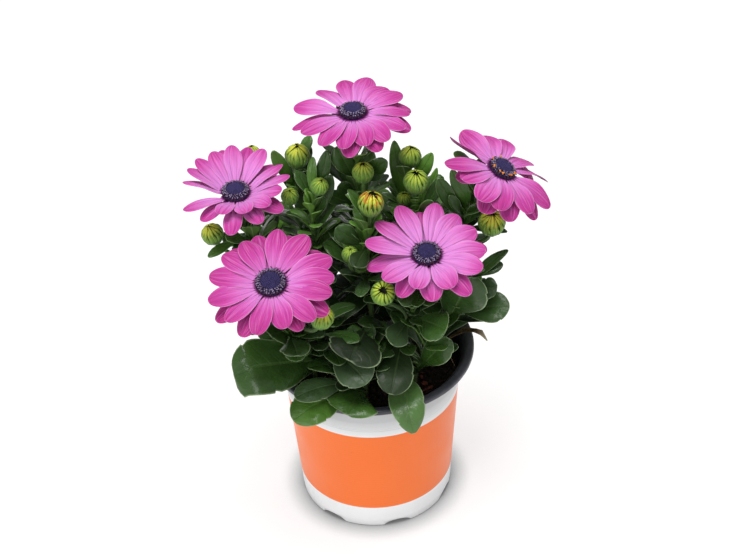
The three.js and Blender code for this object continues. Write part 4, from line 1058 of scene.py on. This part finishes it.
def make_cup(name, head, node):
    """The cup under a bloom, with two rows of spreading bracts."""
    top = LOWER_LAYER - HUB_TOP
    skin = Skin()
    radius, drop = np.array([(0.01, 0), (4.6, 0), (5.2, 0.6), (5.0, 1.5), (4.2, 2.6), (2.6, 3.7),
                             (1.5, 4.5), (0.01, 4.6)]).T[..., None]
    marks = np.zeros((len(radius), 32, 4))
    marks[..., 0] = np.linspace(0.6, 0.1, len(radius))[:, None]
    skin.lathe(in_head(head, turned(radius, top - drop, circle(32))), marks)
    for series, (end, drop, half) in enumerate(((10.5, 3.2, 1.5), (8.8, 2.6, 1.3))):
        for k in range(BRACTS):
            angle = 2 * np.pi * (k + series / 2) / BRACTS
            middle = (6, 0, top - 1.2 - 0.2 * series)
            path, _ = bezier([(4, 0, top - 2.6), middle, (end, 0, top - drop)], BRACT_ALONG[:, 0])
            side = BRACT_ACROSS * half * np.clip(tip_shape(BRACT_ALONG, 0.12, 0.8), 0.02, 1)
            sheet = turned(path[:, :1], path[:, 2:] - 0.25 * BRACT_ACROSS**2, angle)
            sheet = in_head(head, sheet + side[..., None] * sideways(angle))
            skin.blade(sheet, 0.45, head.facing, (BRACT_ALONG, BRACT_ACROSS, 0.1, 0))
    skin.piece(f"bloom_{name}_cup", [BRACT], "foliage", node)


# ---------------------------------------------------------------- buds
# A large bud: the outline of its folds as heights and radii, then the egg inside them and
# its green cup, both as radii and heights.
BUD_OUTLINE = np.array([
    (-8.4, 1.4), (-6, 4.1), (-4, 5.8), (-2.4, 6.5), (0, 6.8), (2, 6.6), (3.5, 5.9), (4.6, 4.8),
    (5.4, 3.4), (5.8, 2)]).T
BUD_EGG = np.array([
    (2.6, -5), (4.6, -3.2), (5.5, -1), (5.8, 1), (5.4, 2.8), (4.2, 4.2), (2.6, 4.7),
    (0.01, 3.4)]).T[..., None]
BUD_CUP = np.array([
    (0.01, -8.6), (1.4, -8.4), (3, -7), (4.2, -6), (5.4, -4.4), (6.1, -2.9), (5.9, -2.4),
    (3.4, -5.3), (0.01, -5.3)]).T[..., None]


def make_bud(name, bud, node):
    """A bud: its rays still folded in narrow wedges round a middle painted dark as shade, above two
    rows of bracts. A ripe one gapes a little, and the most ripe have ragged tips."""
    scale = bud.width / BUD_SIZE
    skin = Skin()
    marks = np.zeros((BUD_EGG.shape[1], 30, 4)) + [0.3, 0.6, bud.ripe, 0]
    # The egg's top takes the marks of the rays' tips, which paint it near black: painted shade in
    # the bud's mouth.
    marks[5:, :, :2] = 1
    skin.lathe(in_head(bud, turned(*BUD_EGG, circle(30)) * scale), marks, flip=True)
    for k in range(BUD_FOLDS):
        angle = 2 * np.pi * (k + chance.uniform(-0.15, 0.15)) / BUD_FOLDS
        ragged = (0.9 + 0.7 * bud.orange) * chance.uniform(-1, 1) + 0.8 * bud.orange
        fold, _ = bezier([
            (5.0, 0, -3.6), (7.0, 0, -0.4), (6.5, 0, 3.4),
            (3.4 + bud.gape / 2, 0, 5.2 + 0.5 * ragged),
            (0.3 + bud.gape * chance.uniform(0.5, 1.5), 0, 7.0 + ragged)], BRACT_ALONG[:, 0])
        tone = np.clip(bud.ripe + chance.uniform(-0.25, 0.25), 0, 1)
        width = np.clip(tip_shape(BRACT_ALONG, 0.35, 1.4), 0.24 - 0.2 * BRACT_ALONG**8, 1)
        radius = fold[:, :1] + 0.9 * (1 - BRACT_ACROSS**2) * smooth(BRACT_ALONG, 1, 0.6)
        swing = BRACT_ACROSS * (1.36 * width) / np.maximum(radius, 1.6)
        sheet = turned(radius, fold[:, 2:], angle + swing) * scale
        outward = in_head(bud, turned(1, 0.6, angle)) - np.asarray(bud.at)
        marks = (0.2 + 0.8 * BRACT_ALONG, BRACT_ACROSS, tone, bud.orange)
        skin.blade(in_head(bud, sheet), 0.4 * scale, outward, marks)
    skin.piece(f"bud_{name}_folds", [BUD_RAYS], "bud_rays", f"bud_{name}_rays")

    cup = Skin()
    marks = np.zeros((BUD_CUP.shape[1], 36, 4))
    marks[..., 0] = np.linspace(0, 0.5, len(marks))[:, None]
    cup.lathe(in_head(bud, turned(*BUD_CUP, circle(36)) * scale), marks, flip=True)
    # The bracts lie snug against the outline of the folds. They end lower on a riper bud.
    lower = 1.2 * bud.ripe**2 + (1.4 if bud.orange > 0.5 else 0)
    for series, usual in enumerate((5.6, 4.3)):
        for k in range(BRACTS):
            angle = 2 * np.pi * (k + series / 2 + chance.uniform(-0.06, 0.06)) / BRACTS
            end = usual - lower + chance.uniform(-0.9, 0.9)
            height = between((BRACT_FOOT, end), BRACT_ALONG)
            width = 1.7 * np.clip(tip_shape(BRACT_ALONG, 0.15, 0.8), 0.03, 1)
            over_folds = np.interp(height, fold[:, 2], fold[:, 0]) + 0.95
            snug = np.minimum(np.interp(height, *BUD_OUTLINE) + 0.3, over_folds)
            radius = snug - 0.2 * series - 0.25 * BRACT_ACROSS**2
            swing = BRACT_ACROSS * width / np.maximum(radius, 1.5)
            sheet = turned(radius, height, angle + swing) * scale
            outward = in_head(bud, turned(1, 0, angle)) - np.asarray(bud.at)
            marks = (BRACT_ALONG, BRACT_ACROSS, bud.ripe, 0)
            cup.blade(in_head(bud, sheet), 0.5 * scale, outward, marks)
    cup.piece(f"bud_{name}_bracts", [BRACT], "foliage", node)


# ---------------------------------------------------------------- stems
def stalk(start, leave, end, arrive):
    """The controls of a stalk that leaves and arrives in these directions."""
    start, end = np.asarray(start, float), np.asarray(end, float)
    pull = 0.4 * np.linalg.norm(end - start)
    return start, start + leave * pull, end - arrive * pull, end


def head_end(head, depth):
    return np.asarray(head.at) - unit(head.facing) * depth


def bud_end(bud):
    return head_end(bud, 7 * bud.width / BUD_SIZE)


def main_curve(shoot):
    """A stem's path, from the soil up into the middle of its bloom or bud."""
    start, upward = np.array([*shoot.root, SOIL_HEIGHT], float), np.array([0, 0, 1.0])
    if shoot.top:
        return stalk(start, upward, shoot.top, unit(np.asarray(shoot.top) - start))
    head = BLOOMS[shoot.bloom] if shoot.bloom else BUDS[shoot.bud]
    end = head_end(head, 5) if shoot.bloom else bud_end(head)
    return stalk(start, upward, end, unit(head.facing))


CURVES = {name: main_curve(shoot) for name, shoot in SHOOTS.items()}


def make_stem(name, shoot):
    """A stem from its root up, with its side stalks."""
    skin = Skin()
    path, _ = bezier(CURVES[name], np.linspace(0, 1, 26))
    path = np.concatenate([[[*shoot.root, SOIL_HEIGHT - ROOT_DEPTH]], path])
    skin.tube(path, STEM_RADIUS * (1 - 0.22 * np.linspace(0, 1, len(path))), 10)
    for bud_name, share in shoot.forks:
        start, ahead = bezier(CURVES[name], share)
        bud = BUDS[bud_name]
        fork, _ = bezier(stalk(start, ahead, bud_end(bud), unit(bud.facing)), np.linspace(0, 1, 18))
        skin.tube(fork, STALK_RADIUS, 8)
    skin.piece(f"stem_{name}", [STEM], "foliage", f"shoot_{name}")


# ---------------------------------------------------------------- leaves
LARGE_ALONG = np.array([
    0, 0.1, 0.2, 0.26, 0.33, 0.41, 0.5, 0.6, 0.63, 0.66, 0.675, 0.72, 0.78, 0.81, 0.84, 0.855,
    0.9, 0.94, 0.97, 0.988, 1])
SMALL_ALONG = np.array([0, 0.12, 0.22, 0.3, 0.42, 0.55, 0.68, 0.8, 0.89, 0.95, 0.985, 1])
LARGE_ACROSS = np.array([
    -1, -0.975, -0.85, -0.62, -0.38, -0.14, 0, 0.14, 0.38, 0.62, 0.85, 0.975, 1])
SMALL_ACROSS = np.array([-1, -0.94, -0.6, -0.2, 0.2, 0.6, 0.94, 1])


def leaf_half_width(leaf, along, across):
    """Half a leaf's width. A large leaf has its teeth, and a broad one a notched tip."""
    broad = leaf.outline == BROAD
    blade = np.clip((along - PETIOLE) / (1 - PETIOLE), 0, 1)
    rounding = 0.36 if broad else 0.55
    half = leaf.width / 2 * np.clip(np.sin(np.pi * blade**leaf.outline), 0, 1)**rounding
    half = np.maximum(np.where(along < 0.5, PETIOLE_HALF, 0.06), half)
    if leaf.large:
        for start, side in TEETH:
            past = (along - start) / TOOTH_LENGTH
            bite = 0.5 * TOOTH_DEPTH * np.clip(past, 0, 1) * (past <= 1.001)
            half = half * (1 - bite * smooth(side * across, 0.3, 1))
    if broad:
        half = half * (0.94 + 0.2 * np.exp(-((along - 0.95) / 0.035)**2) * smooth(-across, 0.3, 1))
    return half


def leaf_sheet(leaf, along=SMALL_ALONG, across=SMALL_ACROSS):
    """The middle surface of a leaf: arched and folded along its midrib, with a wavy margin."""
    along, across = along[:, None], across[None]
    middle = (leaf.root + leaf.tip) / 2 + leaf.facing * 2 * leaf.arch
    at, ahead = bezier((leaf.root, middle, leaf.tip), along[:, 0])
    right = unit(np.cross(ahead, leaf.facing))
    up = np.cross(right, ahead)
    half = leaf_half_width(leaf, along, across)
    wave = WAVE * leaf.width * np.sin(9 * along + 2 * across + leaf.phase) * (half > 2)
    curl = half * smooth(np.abs(across), 0.5, 1.05) + 0.4 * leaf.width * smooth(along, 0.72, 1.02)
    bent = 0.2 * leaf.width * smooth(along, 0.8, 1.06) * (leaf.outline == BROAD)
    lift = np.abs(across)**1.5 * (FOLD * half + wave) - leaf.curl * curl - bent
    rib = 0.3 * np.exp(-(across / 0.12)**2) * smooth(along, 0.15, 0.35) * smooth(along, 1, 0.7)
    aside, raised = (across * half)[..., None], (lift - rib)[..., None]
    return at[:, None] + right[:, None] * aside + up[:, None] * raised


def add_leaf(skin, leaf):
    along, across = (LARGE_ALONG, LARGE_ACROSS) if leaf.large else (SMALL_ALONG, SMALL_ACROSS)
    thick = (0.7 + smooth(along[:, None], 0.35, 0.1)) * thinning(across)
    marks = (along[:, None], across, leaf.tone, leaf.wax)
    skin.blade(leaf_sheet(leaf, along, across), thick, leaf.facing, marks, (0, 1))


def grow_leaf(shoot, share, tip, width, arch, facing, tone, wax=0, outline=SPOON, large=False):
    """A leaf that grows at this share of its shoot's stem."""
    root, _ = bezier(CURVES[shoot], share)
    phase, curl = 40 * share + width, 0.24 if large else 0.12
    tip, facing = np.asarray(tip, float), unit(facing)
    return Leaf(root, tip, width, arch, facing, outline, phase, tone, wax, large, curl)


def spiral_leaf(shoot, share, turn, rise, length, spread, tone):
    """A leaf that leaves its stem at this turn and rise, in degrees."""
    root, _ = bezier(CURVES[shoot], share)
    turn, rise = math.radians(turn), math.radians(rise)
    c, s = math.cos(turn), math.sin(turn)
    tip = root + length * np.array([math.cos(rise) * c, math.cos(rise) * s, math.sin(rise)])
    facing = (-0.35 * c, -0.35 * s, 1)
    return grow_leaf(shoot, share, tip, length * spread, length * 0.1, facing, tone, 0.1)


def rule_leaves():
    """Repeats the rule that placed leaves on the solids, and gives those that grew there."""
    state = RULE_SEED

    def draw(least, most):
        nonlocal state
        state = state * RULE_FACTOR % RULE_MODULUS
        return least + (most - least) * state / RULE_MODULUS

    nodes = frame["nodes"]
    solids = {name: tree_of([vertex.co * METRE for vertex in nodes[f"shoot_{name}"].data.vertices])
              for name in SHOOTS}
    for step, (order, shoot) in itertools.product(range(RULE_LEAVES), enumerate(SHOOTS)):
        up = step / (RULE_LEAVES - 1)
        share = between(RULE_SPAN, up) + draw(-0.02, 0.02)
        turn = 60 * order + GOLDEN_ANGLE * step + draw(-20, 20)
        rise = between(RULE_RISE, up) + draw(-6, 6)
        length = between(RULE_LENGTH, up) * draw(0.85, 1.1)
        spread = draw(0.34, 0.42)
        # Leaves higher on the stem get a brighter tone: partly painted light.
        tone = 0.2 + 0.25 * up
        for more, scale in RULE_TRIES:
            leaf = spiral_leaf(shoot, share, turn + more, rise, length * scale, spread, tone)
            if solids[shoot].find(leaf.tip + AXIS)[2] < TIP_MATCH:
                yield shoot, leaf
                break


# ---------------------------------------------------------------- putting the plant together
make_pot()
make_soil()
petal_sheets = []
for name, head in BLOOMS.items():
    petal_sheets += make_petals(name, head)
    make_disc(name, head)
for name, shoot in SHOOTS.items():
    make_stem(name, shoot)
    if shoot.bloom:
        make_cup(shoot.bloom, BLOOMS[shoot.bloom], f"shoot_{name}")
    for bud_name in [shoot.bud] * bool(shoot.bud) + [bud_name for bud_name, _ in shoot.forks]:
        make_bud(bud_name, BUDS[bud_name], f"shoot_{name}")

leaves = {name: [] for name in SHOOTS}
for shoot, rows in NAMED_LEAVES.items():
    leaves[shoot] += [grow_leaf(shoot, *row, large=row[2] > LARGE_WIDTH) for row in rows]
for shoot, leaf in rule_leaves():
    leaves[shoot].append(leaf)

box_low, box_high = [np.array(corner) * METRE - AXIS for corner in cad_box]
disc_rings = turned(np.linspace(0, 8, 5)[:, None], 2.5, np.linspace(0, 6, 9))
petal_tree = tree_of(np.concatenate(
    [sheet[::2, ::2].reshape(-1, 3) for sheet in petal_sheets]
    + [in_head(head, disc_rings).reshape(-1, 3) for head in BLOOMS.values()]))
leaf_tree = tree_of(np.concatenate(
    [leaf_sheet(leaf, SMALL_ALONG[4:]).reshape(-1, 3)
     for several in leaves.values() for leaf in several]))


def has_room(sheet):
    """Whether a leaf stays clear of petals, buds, pot, soil, the larger leaves and the bare
    soil at the right of the pot."""
    blade = sheet[4:].reshape(-1, 3)
    for point in blade:
        x, y, z = point
        if (point < box_low + 1).any() or (point > box_high - 1).any():
            return False
        in_mouth = math.hypot(x, y) < RIM_RADIUS - LIP_WIDTH - 3 and z > SOIL_HEIGHT + 3
        if z < RIM_HEIGHT + 2 and not in_mouth:
            return False
        if x > BARE_LEFT and BARE_FRONT < y < BARE_BACK and z < BARE_TOP:
            return False
        if petal_tree.find(point)[2] < PETAL_ROOM or leaf_tree.find(point)[2] < LEAF_ROOM:
            return False
    return all(np.linalg.norm(blade - np.asarray(bud.at), axis=1).min() >= bud.width / 2 + BUD_ROOM
               for bud in BUDS.values())


chance = np.random.default_rng(FILL_SEED)
for span, steps, rises, lengths, spread, tones in FILLS:
    for step, (order, shoot) in itertools.product(range(steps), enumerate(SHOOTS)):
        up = step / (steps - 1)
        share = between(span, up) + chance.uniform(-0.02, 0.02)
        rise = between(rises, up) + chance.uniform(-14, 14)
        length = between(lengths, up) * chance.uniform(0.8, 1.2)
        tone = np.clip(between(tones, up) + chance.uniform(-0.15, 0.2), 0, 1)
        for more, scale in FILL_TRIES:
            turn = 60 * order + 30 + GOLDEN_ANGLE * step + more
            wide = spread * chance.uniform(0.85, 1.15)
            leaf = spiral_leaf(shoot, share, turn, rise, length * scale, wide, tone)
            if has_room(leaf_sheet(leaf)):
                leaves[shoot].append(leaf)
                break

for name in SHOOTS:
    skin = Skin()
    for leaf in leaves[name]:
        add_leaf(skin, leaf)
    skin.piece(f"leaves_{name}", LEAF, "foliage", f"shoot_{name}")

dry = Skin()
withered = grow_leaf(*WITHERED_LEAF)
sheet = leaf_sheet(withered)
sheet += 0.9 * np.sin(sheet[..., ::-1] * 1.7) * smooth(SMALL_ALONG, 0.3, 0.7)[:, None, None]
droop = 5 * smooth(SMALL_ALONG, 0.75, 1.05)
sheet[..., 2] += (5 * np.sin(np.pi * SMALL_ALONG) + 3 - droop)[:, None]
dry.blade(sheet, 0.6, withered.facing, (SMALL_ALONG[:, None], SMALL_ACROSS[None], 0, 0))
dry.piece("withered_leaf", [withered_skin()], "foliage", "shoot_far_right")

# ---------------------------------------------------------------- floor, camera and light
scene = bpy.context.scene
side = np.linspace(-6, 6, 3)
floor_mesh = bpy.data.meshes.new("floor")
floor_faces = grid_faces(np.arange(9).reshape(3, 3)).tolist()
floor_mesh.from_pydata([(x, y, 0) for x in side for y in side], [], floor_faces)
floor_mesh.materials.append(paper())
floor_object = bpy.data.objects.new("floor", floor_mesh)
scene.collection.objects.link(floor_object)

# The camera looks down by its tilt from this distance in millimetres.
TILT, ROLL, AWAY, AIM = math.radians(37.93), math.radians(-2.49), 1077.8, np.array([4, 0, 151])
SENSOR, LENS_OVER_SENSOR = 36, 1900 / 750
forward = np.array([0, math.cos(TILT), -math.sin(TILT)])
level_right = np.array([1.0, 0, 0])
level_up = np.cross(level_right, forward)
c, s = math.cos(ROLL), math.sin(ROLL)
axes = np.column_stack([c * level_right + s * level_up, -s * level_right + c * level_up, -forward])
camera = bpy.data.objects.new("camera", bpy.data.cameras.new("camera"))
camera.data.sensor_width = SENSOR
camera.data.lens = SENSOR * LENS_OVER_SENSOR
camera.matrix_world = (Matrix.Translation((AIM - forward * AWAY + AXIS) / METRE)
                       @ Matrix(axes.tolist()).to_4x4())
scene.collection.objects.link(camera)
scene.camera = camera
scene.view_settings.view_transform = "Standard"

# Two large soft lamps: place, size and power, in metres and watts. They aim at a point just
# above the pot, and the room round them gives an even light.
LAMPS = (("overhead", (-0.1, -0.25, 2.8), 1.5, 56), ("front_left", (-1.5, -2.3, 1.7), 1.2, 25))
LIT, SURROUNDINGS = (0, 0, 0.12), 0.42
for name, place, size, power in LAMPS:
    light = bpy.data.lights.new(name, "AREA")
    light.size, light.energy = size, power
    lamp = bpy.data.objects.new(name, light)
    back = unit(np.array(place) - LIT)
    lamp.matrix_world = Matrix.Translation(place) @ Matrix(head_frame(back).T.tolist()).to_4x4()
    scene.collection.objects.link(lamp)
world = bpy.data.worlds.new("studio")
world.use_nodes = True
background = world.node_tree.nodes["Background"]
background.inputs["Color"].default_value = (1, 1, 1, 1)
background.inputs["Strength"].default_value = SURROUNDINGS
scene.world = world
